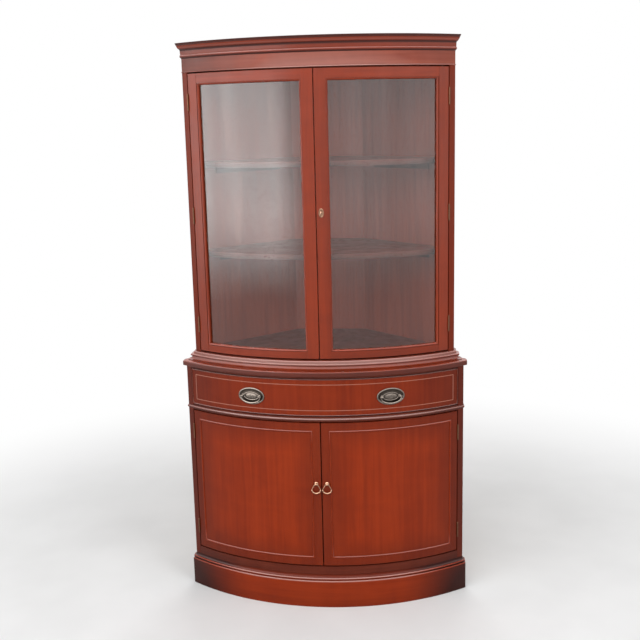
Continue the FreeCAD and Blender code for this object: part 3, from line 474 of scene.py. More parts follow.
def polished_wood(name, tones, grain, seed=0.0, gloss=0.1):
    """Figured mahogany under polish: streaks and pores along the grain, a soft ribbon across it.

    The attribute shade of a piece darkens it above 0, as painted shade and toner, and gives it a painted
    highlight below 0.
    """
    material, tree = new_material(name)
    shift = {0: unrolled(tree), 1: (seed, 0.0, seed * 1.7)}
    place = add(tree, "VectorMath", shift, operation="ADD").outputs[0]
    along = {"up": (1.0, 1.0, 0.045), "along": (0.045, 1.0, 1.0)}[grain]
    ribbon = {"up": (0.5, 1.0, 1.0), "along": (1.0, 1.0, 0.5)}[grain]
    lines = stretched(tree, place, along)
    streaks = noise(tree, lines, 75.0, 6.0, 0.62, 0.5)
    broad = noise(tree, lines, 14.0, 3.0, 0.5, 0.8)
    mottle = noise(tree, stretched(tree, place, ribbon), 16.0, 2.0, 0.5, 0.6)
    pores = noise(tree, stretched(tree, place, [0.35 * share for share in along]), 2600.0, 1.0, 0.5)
    parts = [maths(tree, "MULTIPLY", part, share)
             for part, share in ((streaks, 0.42), (broad, 0.38), (mottle, 0.2))]
    figure = maths(tree, "ADD", maths(tree, "ADD", parts[0], parts[1]), parts[2])
    deep, middle, bright = (colour(*tone) for tone in tones)
    body = blend(tree, limits(tree, figure, 0.38, 0.52), deep, middle)
    body = blend(tree, limits(tree, figure, 0.47, 0.64), body, bright)
    body = blend(tree, limits(tree, pores, 0.62, 0.72, 0.0, 0.35), body, deep)
    shade = add(tree, "Attribute", attribute_name="shade").outputs["Fac"]
    # painted shade and toner above 0, painted highlight below 0
    body = blend(tree, shade, body, SHADE_AND_TONER)
    body = blend(tree, maths(tree, "MULTIPLY", shade, -1.0), body, PAINTED_HIGHLIGHT)
    rough = limits(tree, noise(tree, place, 22.0, 3.0), 0.3, 0.7, 0.3, 0.42)
    relief = maths(tree, "SUBTRACT", maths(tree, "MULTIPLY", streaks, 0.35),
                   limits(tree, pores, 0.6, 0.75))
    principled(tree, {
        "Base Color": body, "Roughness": rough, "Normal": bumped(tree, 0.1, 0.0006, relief),
        "Specular IOR Level": gloss, "Coat Weight": gloss, "Coat Roughness": 0.1, "Coat IOR": 1.5})
    return material


def plain_wood(name, deep, bright):
    """Unpolished boards that lie across the cabinet: fine dull streaks."""
    material, tree = new_material(name)
    lines = stretched(tree, unrolled(tree), (0.035, 0.5, 1.0))
    streaks = noise(tree, lines, 60.0, 6.0, 0.6, 0.4)
    flecks = noise(tree, lines, 900.0, 1.0)
    body = blend(tree, limits(tree, streaks, 0.35, 0.65), deep, bright)
    body = blend(tree, limits(tree, flecks, 0.6, 0.75, 0.0, 0.4), body, deep)
    principled(tree, {"Base Color": body, "Roughness": 0.72,
                      "Normal": bumped(tree, 0.15, 0.0005, streaks)})
    return material


def lined_sheet(name):
    """Case boards: raw plywood outside, stained and waxed inside."""
    material, tree = new_material(name)
    streaks = noise(tree, stretched(tree, unrolled(tree), (1.0, 1.0, 0.05)), 55.0, 6.0, 0.6, 0.5)
    right, forward, _ = from_axis(tree)
    from_wall = maths(tree, "SUBTRACT", maths(tree, "SUBTRACT", forward, WALL_LINE),
                      maths(tree, "ABSOLUTE", right))
    from_back = maths(tree, "SUBTRACT", forward, BACK_LINE)
    inside = limits(tree, maths(tree, "MINIMUM", from_wall, from_back), 5.0 * MM, 6.5 * MM)
    raw = blend(tree, streaks, colour(0.3, 0.17, 0.085), colour(0.46, 0.29, 0.16))
    stained = blend(tree, limits(tree, streaks, 0.35, 0.65), colour(0.23, 0.036, 0.015),
                    colour(0.3, 0.051, 0.021))
    rough = maths(tree, "SUBTRACT", 0.75, maths(tree, "MULTIPLY", inside, 0.25))
    principled(tree, {"Base Color": blend(tree, inside, raw, stained), "Roughness": rough,
                      "Normal": bumped(tree, 0.12, 0.0005, streaks)})
    return material


def old_glass(name):
    """Bent window glass, slightly uneven, that lets the lamps through."""
    material, tree = new_material(name)
    waves = noise(tree, unrolled(tree), 9.0, 1.0)
    glass = add(tree, "BsdfPrincipled", {
        "Base Color": colour(0.97, 0.98, 0.97), "Roughness": 0.02, "IOR": 1.42,
        "Transmission Weight": 1.0, "Normal": bumped(tree, 0.05, 0.004, waves)})
    clear = add(tree, "BsdfTransparent", {0: colour(0.96, 0.98, 0.96)})
    shadow = add(tree, "LightPath").outputs["Is Shadow Ray"]
    both = add(tree, "MixShader", {0: shadow, 1: glass.outputs[0], 2: clear.outputs[0]})
    add(tree, "OutputMaterial", {0: both.outputs[0]})
    return material


def metal(name, bright, tarnish, rough):
    """Cast brass: bright on its swells, tarnished in patches and where shade is high."""
    material, tree = new_material(name)
    place = add(tree, "TexCoord").outputs["Object"]
    patches = noise(tree, place, 160.0, 4.0, 0.6)
    wear_sheen_and_shade = limits(tree, add(tree, "NewGeometry").outputs["Pointiness"], 0.46, 0.54)
    share = maths(tree, "MULTIPLY", limits(tree, patches, 0.35, 0.7),
                  maths(tree, "SUBTRACT", 1.15, wear_sheen_and_shade))
    shade = add(tree, "Attribute", attribute_name="shade").outputs["Fac"]
    body = blend(tree, maths(tree, "MAXIMUM", share, shade), bright, tarnish)
    gloss = limits(tree, noise(tree, place, 420.0, 3.0), 0.3, 0.7, rough, rough + 0.14)
    principled(tree, {"Base Color": body, "Metallic": 1.0, "Roughness": gloss,
                      "Normal": bumped(tree, 0.12, 0.0003, patches)})
    return material


def inlay(name):
    """The drawer's inlaid line: a fine paler wood under the polish."""
    material, tree = new_material(name)
    streaks = noise(tree, stretched(tree, unrolled(tree), (0.1, 1.0, 1.0)), 300.0, 4.0)
    body = blend(tree, streaks, colour(0.26, 0.07, 0.035), colour(0.33, 0.1, 0.052))
    principled(tree, {"Base Color": body, "Roughness": 0.35, "Coat Weight": 0.4,
                      "Coat Roughness": 0.15})
    return material


# Each wood's deep, middle and bright tone.
BASE_TONES = ((0.206, 0.019, 0.002), (0.243, 0.0235, 0.0024), (0.282, 0.0295, 0.0034))
RAIL_TONES = ((0.07, 0.011, 0.0052), (0.1, 0.016, 0.007), (0.132, 0.022, 0.0092))
HUTCH_TONES = ((0.156, 0.017, 0.003), (0.188, 0.0205, 0.0036), (0.22, 0.025, 0.0046))
# The frieze's tones are paler and greyer than the hutch's: a painted reflection of the room in its
# polish.
FRIEZE_SHEEN_TONES = ((0.185, 0.036, 0.019), (0.22, 0.046, 0.025), (0.255, 0.057, 0.032))
WOOD_UP = polished_wood("mahogany_up", HUTCH_TONES, "up", 0.0, 0.2)
WOOD_ALONG = polished_wood("mahogany_along", HUTCH_TONES, "along", 0.37, 0.2)
BASE_WOOD_UP = polished_wood("mahogany_base_up", BASE_TONES, "up", 2.9)
BASE_WOOD_ALONG = polished_wood("mahogany_base_along", BASE_TONES, "along", 3.3)
FRIEZE_SHEEN_WOOD = polished_wood("mahogany_frieze_painted_sheen", FRIEZE_SHEEN_TONES, "along", 0.74, 0.15)
MOULDED_WOOD = polished_wood("mahogany_mouldings", RAIL_TONES, "along", 1.9, 0.2)
RAIL_WOOD = polished_wood("mahogany_rails", RAIL_TONES, "along", 1.1)
SHELF_WOOD = polished_wood("mahogany_shelves", RAIL_TONES, "along", 2.3, 0.2)
CASE_SHEET = lined_sheet("case_sheet")
RAW_WOOD = plain_wood("raw_wood", colour(0.36, 0.22, 0.115), colour(0.5, 0.335, 0.185))
GLAZING = old_glass("bent_glass")
BRASS = metal("bright_brass", colour(0.32, 0.19, 0.125), colour(0.09, 0.045, 0.028), 0.28)
HINGE_BRASS = metal("hinge_brass", colour(0.13, 0.06, 0.035), colour(0.05, 0.022, 0.014), 0.4)
AGED_BRASS = metal("aged_brass_nickel", colour(0.17, 0.143, 0.122),
                   colour(0.026, 0.02, 0.016), 0.26)
INLAY = inlay("inlaid_line")


def finish_node(node, material):
    """Gives a CAD node that stays its material."""
    materials = frame["nodes"][node].data.materials
    for index in range(len(materials)):
        materials[index] = material
    if not materials:
        materials.append(material)


# ---- case

def plinth_section():
    """Plain board, ovolo, bead and cove."""
    top = high("plinth_front").z
    start = top - 24 * MM
    section = [(PLINTH_STEP, 0.0)] + curve(PLINTH_STEP - 4 * MM, start, 4 * MM, 4 * MM, 0, 90)
    section += [(PLINTH_STEP - 5 * MM, start + 4 * MM)]
    section += curve(PLINTH_STEP - 5 * MM, start + 10 * MM, 3 * MM, 3 * MM, -90, 90, 12)
    section += curve(5 * MM, start + 20 * MM, 5 * MM, 7 * MM, -90, -180)
    return section + [(0.0, top)]


def waist_section():
    """Fillet, wide cove, torus, flat and ovolo up to the hutch's face."""
    section = [(0.0, 0.0), (WAIST_STEP, 0.0), (WAIST_STEP, 2 * MM)]
    section += curve(WAIST_STEP, 13 * MM, 12 * MM, 11 * MM, -90, -180, 12)
    section += curve(WAIST_STEP - 11 * MM, 16.5 * MM, 3.5 * MM, 3.5 * MM, -90, 90, 12)
    section += [(8 * MM, 20 * MM), (8 * MM, 25 * MM)]
    section += curve(5 * MM, 25 * MM, 3 * MM, 3 * MM, 0, 90)
    return section + [(0.0, 28 * MM)]


def cornice_section(rise):
    """Nosing, flat, cove and a flattened swell under a fascia that leans out."""
    section = [(0.0, 0.0), (0.6 * MM, 1.0 * MM)]
    section += curve(0.6 * MM, 7.5 * MM, 4.0 * MM, 5.2 * MM, -80, 60, 12)
    section += [(2.8 * MM, 13 * MM), (3.3 * MM, rise - 25.5 * MM)]
    section += curve(8 * MM, rise - 25.5 * MM, 4.7 * MM, 7.5 * MM, 180, 90)
    section += [(out * MM, rise - down * MM) for out, down in CORNICE_SWELL]
    return section + [(CORNICE_STEP, rise - 1 * MM), (CORNICE_STEP, rise), (0.0, rise)]


def bands(node, stops, strength=0.0, clear=0.5):
    """Painted shade, or painted highlight below 0, by height in mm above a node's foot, between stops;
    darker towards the sides.

    clear is the share of the half width that has no side shading.
    """
    foot, half = low(node).z, high(node).x

    def shade(spot):
        rise = (spot.z - foot) / MM
        tone = stops[-1][1]
        for (first, before), (last, after) in zip(stops, stops[1:]):
            if rise <= last:
                tone = mix(before, after, max(rise - first, 0) / (last - first))
                break
        return tone + strength * soft(abs(spot.x), clear * half, half)
    return shade


# Out from the hutch's face and down from the top of the cornice, in mm.
CORNICE_SWELL = (
    (8.4, 17.2), (9.4, 16.2), (11.2, 13.5), (12.6, 10.6), (13.4, 8.2), (13.5, 7.4), (14.2, 7.1))

# Height above the node's foot in mm, and the painted shade there; below 0, a painted highlight.
PLINTH_SHADES = (
    (0, 0.2), (12, 0.0), (88, 0.0), (91, -0.4), (92.6, -0.95), (93.2, 0.8), (96.2, 0.7), (98, 0.2),
    (100, -0.5), (101.8, -1.0), (102.3, 0.75), (104, 0.65), (108, 0.55), (113, 0.7))
WAIST_SHADES = (
    (0, 0.5), (2, 0.1), (4, -0.04), (11, -0.04), (13.2, 0.25), (15, -0.1), (17.5, -0.45), (19.8, -0.6),
    (20.1, -0.5), (21, -0.55), (25, -0.55), (27.5, -0.6), (28, 0.3))
CORNICE_SHADES = (
    (0, 0.95), (2.5, 0.9), (5, 0.6), (8, 0.25), (9.5, -0.22), (11.8, -0.22), (12.8, 0.3), (13.5, 0.22),
    (21, 0.22), (23, 0.6), (25, 0.95), (28, 0.95), (30, 0.45), (31.5, -0.1), (37, -0.1), (39.5, 0.4),
    (41, 0.85), (48, 0.9))
MID_BEAD_SHADES = ((0, 0.7), (2, 0.4), (4, -0.12), (7, -0.52), (9, -0.4))
FRIEZE_SHADES = ((0, 0.5), (1, -0.4), (3.4, -0.9), (3.6, 0.5), (4.6, -0.25), (80, -0.25), (87, 0.1))
SHELF_SHADES = ((0, 0.6), (15, 0.5), (16.2, -0.15), (17, 0.0))


def case_moulding(name, node, bow, base, section, material, easing=0.0, shade=None, inner=None):
    """A moulding of the case; bow is the radius and half width of the face that it stands on."""
    piece(name, lambda bm: moulding(bm, *bow, base, section, inner), material, "case", [node], easing,
          shade)


def case_mouldings():
    base, hutch = (BASE_BOW, BASE_HALF), (BOW, HALF)
    case_moulding("plinth_board", "plinth_front", base, 0.0, plinth_section(), BASE_WOOD_ALONG, EASE,
                  bands("plinth_front", PLINTH_SHADES, 0.95), (BASE_BOW - BOARD, BASE_HALF - BOARD))
    z0, z1 = heights("mid_bead")
    bead = curve(0.0, 0.0, AXIS_Y - BASE_BOW - low("mid_bead").y, (z1 - z0) / 2, -90, 90, 12)
    case_moulding("middle_bead", "mid_bead", base, (z0 + z1) / 2, bead, MOULDED_WOOD,
                  shade=bands("mid_bead", MID_BEAD_SHADES, 0.3))
    case_moulding("waist_run", "waist_moulding", hutch, low("waist_moulding").z, waist_section(),
                  WOOD_ALONG, FINE_EASE, bands("waist_moulding", WAIST_SHADES, 0.25))
    z0, z1 = heights("cornice")
    case_moulding("cornice_run", "cornice", hutch, z0, cornice_section(z1 - z0), WOOD_ALONG, FINE_EASE,
                  bands("cornice", CORNICE_SHADES))
    z0, z1 = heights("frieze")
    frieze = curve(0.0, 1.8 * MM, 1.8 * MM, 1.8 * MM, -90, 90) + [(0.0, 4.6 * MM), (0.0, z1 - z0)]
    shade = bands("frieze", FRIEZE_SHADES, 0.8, 0.1)
    # Painted shade from the bands, and a painted reflection that makes the right half paler.
    case_moulding("frieze_run", "frieze", hutch, z0, frieze, FRIEZE_SHEEN_WOOD,
                  shade=lambda spot: shade(spot) - 0.4 * soft(spot.x, 0.05, 0.35),
                  inner=(BOW - RAIL_DEPTH, POST_INNER))


def ledge():
    """Top of the base, with a rounded nose."""
    z0, z1 = heights("base_top")
    nose = [(LEDGE_STEP - 1 * MM, z0), (LEDGE_STEP, z0 + 1 * MM)]
    nose += curve(LEDGE_STEP - 4 * MM, z1 - 4 * MM, 4 * MM, 4 * MM, 0, 90)

    def draw(bm):
        loft(bm, [plan(BASE_BOW + out, BASE_HALF + out, WALL_LINE, BACK_LINE, z) for out, z in nose])

    # Painted shade on the nose, below the lit top.
    piece("base_ledge", draw, WOOD_ALONG, "case", ["base_top"],
          shade=lambda spot: 0.68 * (1 - soft(spot.z, z1 - 4 * MM, z1)))


def bow_rails():
    rails = [(node, BASE_BOW, BASE_POST_ANGLE) for node in ("base_rail", "mid_rail", "base_top_rail")]
    for node, radius, angle in rails + [("hutch_bottom_rail", BOW, POST_ANGLE)]:
        z0, z1 = heights(node)
        inner = radius - RAIL_DEPTH
        # Painted shade towards the bow's ends.
        piece(node + "_front", lambda bm: bow_board(bm, inner, radius, -angle, angle, z0, z1),
              RAIL_WOOD, "case", [node], FINE_EASE,
              lambda spot: 0.4 * soft(abs(spot.x), 0.55 * HALF, HALF))


def posts():
    """Corner posts: a face on the bow, a side, and a back along the 45-degree wall."""
    # The last value is the even painted shade on each pair of posts.
    for node, radius, half, angle, tone in (
            ("hutch_posts", BOW, HALF, POST_ANGLE, 0.5),
            ("base_posts", BASE_BOW, BASE_HALF, BASE_POST_ANGLE, 0.7)):
        inner = (radius - POST_REACH) * math.sin(angle)

        def draw(bm):
            for side in (-1, 1):
                rings = []
                for z in heights(node):
                    face = [bow_point(radius, side * turn, z)
                            for turn in spaced(angle, math.asin(half / radius), 3)]
                    back = [wall_point(WALL_LINE, side * x, z) for x in (half, inner)]
                    rings.append(face + back + [bow_point(radius - POST_REACH, side * angle, z)])
                loft(bm, rings)

        piece(node + "_eased", draw, BASE_WOOD_UP, "case", [node], EASE, lambda spot: tone)


def shelves():
    for node in ("shelf_lower", "shelf_upper"):
        rings = [plan(BOW - SHELF_SETBACK, POST_INNER, INNER_WALL_LINE, INNER_BACK_LINE, z)
                 for z in heights(node)]
        piece(node + "_board", lambda bm: loft(bm, rings), SHELF_WOOD, "case", [node], SHELF_EASE,
              bands(node, SHELF_SHADES))


def plain_case():
    for node in ("hutch_walls", "hutch_back", "base_walls", "base_back"):
        finish_node(node, CASE_SHEET)
    for node in ("hutch_bottom", "hutch_top", "base_bottom", "base_shelf", "shelf_cleats"):
        finish_node(node, SHELF_WOOD)
    for node in ("plinth_back", "drawer_deck", "drawer_runners", "drawer_box", "drawer_bottom"):
        finish_node(node, RAW_WOOD)
    finish_node("lock_bolt", BRASS)


# ---- glazed doors

def door_angles(side, radius, post_angle):
    """The first and last angle of a door, from left to right."""
    inner = GAP / 2 / radius
    outer = post_angle - GAP / radius
    return (inner, outer) if side > 0 else (-outer, -inner)


def sticking_section():
    """The door frame's inner edge: a fine quirk, a rounded strip and the rebate's shoulder."""
    section = [(0.0, -SUNK), (0.0, -2.2 * MM), (0.9 * MM, -2.2 * MM)]
    section += curve(0.9 * MM, -6.7 * MM, 5.1 * MM, 5.3 * MM, 90, 0, 10)
    return section + [(STICKING, -GLASS_DEPTH), (0.0, -GLASS_DEPTH)]


def glazed_door(name, side):
    start, end = door_angles(side, BOW, POST_ANGLE)
    turn = STILE / BOW
    z0, z1 = heights(name + "_hinge_stile")
    inner = BOW - DOOR_DEPTH
    first_in, last_in = start + turn, end - turn
    foot, head = z0 + BOTTOM_RAIL, z1 - TOP_RAIL
    opening = (first_in, last_in, foot, head)
    stiles = ((start, first_in), (last_in, end))[::-side]  # the hinge side first
    for node, (first, last) in zip(("hinge_stile", "meeting_stile"), stiles):
        piece(f"{name}_{node}_bent", lambda bm: bow_board(bm, inner, BOW, first, last, z0, z1, rows=24),
              WOOD_UP, name, [f"{name}_{node}"], EASE)

    def rails(bm):
        bow_board(bm, inner, BOW, first_in, last_in, z0, foot)
        bow_board(bm, inner, BOW, first_in, last_in, head, z1)

    piece(name + "_bent_rails", rails, WOOD_ALONG, name, [name + "_rails"], EASE)
    piece(name + "_sticking", lambda bm: bow_ring(bm, BOW, *opening, sticking_section()), WOOD_UP, name,
          [name + "_rails"])
    back = BOW - GLASS_DEPTH - GLASS
    play = GLASS_PLAY / BOW
    piece(name + "_pane",
          lambda bm: bow_board(bm, back, back + GLASS, first_in + play, last_in - play,
                               foot + GLASS_PLAY, head - GLASS_PLAY),
          GLAZING, name, [name + "_glass"])
    bead = [(0.0, 0.0), (STICKING, 0.0), (STICKING, -2 * MM)]
    bead += curve(0.0, -2 * MM, STICKING, GLASS_BEAD - 2 * MM, 0, -90)[1:]
    piece(name + "_putty_beads", lambda bm: bow_ring(bm, back, *opening, bead), SHELF_WOOD, name,
          [name + "_glass_beads"])


# ---- lower doors and drawer

def edge_toner_and_shade(start, end, z0, z1):
    """Toner and painted shade, darkest at a panel's edges and clear in its middle, with painted shade
    towards the bow's ends.
    """
    def shade(spot):
        angle = math.atan2(spot.x, AXIS_Y - spot.y)
        side = min(angle - start, end - angle) * BASE_BOW
        near = min(side, spot.z - z0, z1 - spot.z)
        return 0.42 * (1 - soft(near, -10 * MM, 110 * MM)) + 0.15 * soft(abs(spot.x), 0.22, 0.44)
    return shade


def lower_door(name, side):
    start, end = door_angles(side, BASE_BOW, BASE_POST_ANGLE)
    z0, z1 = heights(name + "_panel")
    inner = BASE_BOW - LOWER_DOOR_DEPTH
    piece(name + "_veneered", lambda bm: bow_board(bm, inner, BASE_BOW, start, end, z0, z1, rows=40),
          BASE_WOOD_UP, name, [name + "_panel"], EASE, edge_toner_and_shade(start, end, z0, z1))
    turn = BEAD_MARGIN / BASE_BOW
    section = curve(BEAD_WIDTH / 2, 0.0, BEAD_WIDTH / 2, BEAD_PROUD, 180, 0, 12)
    section = [(0.0, -SUNK)] + section + [(BEAD_WIDTH, -SUNK)]
    # The beads are darker evenly, with painted sheen on upward faces and painted shade on downward ones.
    piece(name + "_astragal",
          lambda bm: bow_ring(bm, BASE_BOW, start + turn, end - turn, z0 + BEAD_MARGIN, z1 - BEAD_MARGIN,
                              section),
          BASE_WOOD_ALONG, name, [name + "_bead"], shade=lambda spot: 0.2, wear_sheen_and_shade=0.55)


def drawer_face():
    z0, z1 = heights("drawer_cock_bead")
    angle = math.asin(high("drawer_cock_bead").x / (BASE_BOW + COCK_BEAD_PROUD))
    turn = COCK_BEAD / BASE_BOW
    inner = BASE_BOW - DOOR_DEPTH
    # Darker all over, with painted shade towards the bow's ends.
    piece("drawer_front_bent",
          lambda bm: bow_board(bm, inner, BASE_BOW, turn - angle, angle - turn, z0 + COCK_BEAD,
                               z1 - COCK_BEAD, rows=8),
          BASE_WOOD_UP, "drawer", ["drawer_front"], DRAWER_EASE,
          lambda spot: 0.25 + 0.3 * soft(abs(spot.x), 0.2, BASE_HALF))
    section = [(0.0, -DOOR_DEPTH), (0.0, 0.5 * MM)]
    section += curve(COCK_BEAD / 2, 0.5 * MM, COCK_BEAD / 2, COCK_BEAD_PROUD - 0.5 * MM, 180, 0)[1:]
    section += [(COCK_BEAD, -DOOR_DEPTH)]
    # Painted sheen on the bead's upward faces, painted shade on its downward ones.
    piece("drawer_cock_bead_round", lambda bm: bow_ring(bm, BASE_BOW, -angle, angle, z0, z1, section),
          MOULDED_WOOD, "drawer", ["drawer_cock_bead"], wear_sheen_and_shade=0.3)
    inset = STRING_MARGIN / BASE_BOW
    line = [(0.0, -STRING_DEPTH), (0.0, STRING_PROUD), (STRING_WIDTH, STRING_PROUD),
            (STRING_WIDTH, -STRING_DEPTH)]
    piece("drawer_stringing",
          lambda bm: bow_ring(bm, BASE_BOW, inset - angle, angle - inset, z0 + STRING_MARGIN,
                              z1 - STRING_MARGIN, line),
          INLAY, "drawer")


# ---- brass

PULL_ANGLE = 228 * MM / BASE_BOW
PULL_Z = mid_height("drawer_pull_plates")
PULL_BALL = 3.7 * MM
EYE_X = 29.1 * MM  # middle of the plate to each post
BAIL_STAND = 8 * MM  # drawer front to the bail
BAIL_HALF = 34 * MM
BAIL_CORNER = 18 * MM
BAIL_SWEEP = 55 * MM
BAIL_TIP = ((26.6, 1.3), (30, 1.4), (33, 1.8), (34.6, 2.4), (36.2, 1.0))  # across, and radius, in mm
PULL_STEM = ((0.5, 4.6), (1.6, 4.4), (2.4, 3.2), (4.2, 2.5), (6.0, 2.6))  # outward, and radius, in mm
PLATE_RINGS = (  # half width, half height, projection, in mm
    (46, 28, -0.2), (46, 28, 1.0), (45.4, 27.4, 2.2), (44.2, 26.2, 2.9), (42.8, 24.8, 2.9),
    (41.6, 23.6, 2.3), (41.0, 23.0, 1.3), (36, 19.4, 0.9), (30, 15.4, 1.2), (27.6, 13.8, 1.5),
    (27.0, 13.3, 2.3), (25.6, 12.4, 2.6), (24.4, 11.6, 2.2), (23.8, 11.2, 1.3), (21.5, 9.8, 1.4),
    (17, 7.4, 2.5), (10, 4.2, 2.95), (0.3, 0.15, 3.0))


def front_frame(radius, angle, z):
    """Right, up and outward at a place on the bow, as a matrix."""
    out = Vector((math.sin(angle), -math.cos(angle), 0.0))
    right = Vector((math.cos(angle), math.sin(angle), 0.0))
    turn = Matrix((right, Vector((0.0, 0.0, 1.0)), out)).transposed().to_4x4()
    return Matrix.Translation(bow_point(radius, angle, z)) @ turn


def outward(place):
    return place.to_3x3() @ Vector((0.0, 0.0, 1.0))


def recessed(spot):
    """Shading for the pull plates: tarnished wherever they stand less than about 2 mm proud."""
    proud = math.hypot(spot.x, AXIS_Y - spot.y) - BASE_BOW
    return 0.9 * (1 - soft(proud, 1.4 * MM, 2.4 * MM))


def pull_plates(bm):
    for side in (-1, 1):
        place = front_frame(BASE_BOW, side * PULL_ANGLE, PULL_Z)
        loft(bm, oval_rings(BASE_BOW, side * PULL_ANGLE, PULL_Z, in_mm(PLATE_RINGS)))
        for end in (-1, 1):
            at = place @ Vector((end * EYE_X, 0.0, 0.0))
            lathe(bm, knobbed(PULL_STEM, PULL_BALL, BAIL_STAND), at, outward(place))


def bail_line():
    """The handle's line below its pivots: two quarter bends and a flatter sweep."""
    run, reach = BAIL_HALF - BAIL_CORNER, BAIL_SWEEP - BAIL_CORNER
    rise = math.sqrt(reach ** 2 - run ** 2)
    sweep = math.degrees(math.asin(run / reach))
    right = curve(run, 0.0, BAIL_CORNER, BAIL_CORNER, sweep - 90, 0, 10)
    left = [(-x, z) for x, z in reversed(right)]
    return left + curve(0.0, rise, BAIL_SWEEP, BAIL_SWEEP, -90 - sweep, sweep - 90, 14)[1:-1] + right


def bail(side):
    place = front_frame(BASE_BOW, side * PULL_ANGLE, PULL_Z)

    def draw(bm):
        line = bail_line()
        points = [place @ Vector((x, z, BAIL_STAND)) for x, z in line]
        tube(bm, points, [mix(1.8, 2.7, soft(-z, 8 * MM, 21 * MM)) * MM for x, z in line])
        for end in (-1, 1):
            points = [place @ Vector((end * x * MM, 0.0, BAIL_STAND)) for x, radius in BAIL_TIP]
            tube(bm, points, [radius * MM for x, radius in BAIL_TIP])

    name = "bail_right" if side > 0 else "bail_left"
    piece(name + "_cast", draw, AGED_BRASS, name, [name])


DROP_ANGLE = 17.5 * MM / BASE_BOW
DROP_STAND = 7.8 * MM  # door to the drop
DROP_Z = mid_height("base_door_right_pull_post")
DROP_BALL = 3.4 * MM
DROP_EAR = 2.5 * MM
DROP_EAR_AT = (14.0 * MM, -19.6 * MM)
DROP_BAR = (-5.6, -3, 0, 3, 5.6)  # across, in mm
DROP_BAR_RADIUS = 1.4 * MM
DROP_ROSETTE = (  # outward, and radius, in mm
    (0.0, 6.2), (0.8, 6.2), (1.5, 5.6), (2.0, 4.6), (2.3, 3.8), (3.2, 2.8), (5.0, 2.4), (5.6, 2.9))
DROP_LINE = (  # half of the drop below its pivot, across and up, in mm
    (4.5, 0.0), (6.2, -2.6), (8.8, -7.0), (11.6, -12.0), (13.6, -17.0), (14.2, -20.2), (13.0, -23.4),
    (10.2, -26.4), (6.4, -28.6), (2.8, -29.8), (0.0, -30.4))


def lower_pull(name, side):
    """A post with a rosette, and a drop with shoulders, ears and a pointed foot."""
    place = front_frame(BASE_BOW, side * DROP_ANGLE, DROP_Z)
    out = outward(place)

    def post(bm):
        lathe(bm, knobbed(DROP_ROSETTE, DROP_BALL, DROP_STAND), place.translation, out)

    def drop(bm):
        half = in_mm(DROP_LINE)
        line = [(-x, z) for x, z in half] + half[-2::-1]
        points = [place @ Vector((x, z, DROP_STAND)) for x, z in line]
        tube(bm, points, [mix(1.3, 2.2, soft(-z, 17 * MM, 27 * MM)) * MM for x, z in line])
        bar = [place @ Vector((x * MM, 0.0, DROP_STAND)) for x in DROP_BAR]
        tube(bm, bar, [DROP_BAR_RADIUS] * len(bar))
        for end in (-1, 1):
            x, z = DROP_EAR_AT
            lathe(bm, ball(DROP_EAR), place @ Vector((end * x, z, DROP_STAND)), out)

    piece(name + "_rosette", post, BRASS, name, [name + "_pull_post"])
    piece(name + "_stirrup", drop, BRASS, "drop_left" if side < 0 else "drop_right", [name + "_drop"])


LOCK_ANGLE = 16 * MM / BOW
KEY_Z = mid_height("key")
ESCUTCHEON_RINGS = (  # half width, half height, projection, in mm
    (8, 14, -0.2), (8, 14, 0.5), (7.4, 13.4, 1.1), (6.4, 12.2, 1.2), (5.6, 11.2, 0.8), (3.4, 5.0, 0.9),
    (3.3, 3.4, 1.1), (3.2, 3.2, 0.2), (3.2, 3.2, -3.0))
LOCK_PLATES = (  # across, up, and inward from the back of the door, in mm
    # round the keyhole
    ((-13, -3), (-22, 22), (0.3, 1.5)), ((3, 13), (-22, 22), (0.3, 1.5)),
    ((-3, 3), (3, 22), (0.3, 1.5)), ((-3, 3), (-22, -5.6), (0.3, 1.5)),
    # cap, top, foot and hinge side
    ((-13, 13), (-22, 22), (9.1, 10.3)), ((-13, 13), (20.8, 22), (1.5, 9.1)),
    ((-13, 13), (-22, -20.8), (1.5, 9.1)), ((11.8, 13), (-20.8, 20.8), (1.5, 9.1)),
    # round the bolt's mouth
    ((-13, -11.8), (-20.8, 7.8), (1.5, 9.1)), ((-13, -11.8), (18.2, 20.8), (1.5, 9.1)),
    ((-13, -11.8), (7.8, 18.2), (1.5, 2.6)), ((-13, -11.8), (7.8, 18.2), (8.0, 9.1)))
KEY_STEM = (  # outward, and radius, in mm
    (-28.5, 1.0), (-28, 2.0), (1.2, 2.0), (1.4, 2.9), (2.4, 3.3), (3.4, 2.9), (3.8, 2.1), (9.5, 1.9),
    (10.0, 2.6), (11.2, 3.0), (12.4, 2.6), (13.0, 2.0), (15.6, 1.6))
KEY_BOW_AT = 23.5 * MM  # outward to the middle of the key's bow
KEY_BOW_OUT = 8.4 * MM  # its half length outward
KEY_BOW_RISE = 8.6 * MM  # its half height
KEY_BOW_WIRE = 1.5 * MM
KEY_BIT_AT = (0.0, -3.4 * MM, -26.6 * MM)
KEY_BIT = (1.2 * MM, 3.2 * MM, 3 * MM)


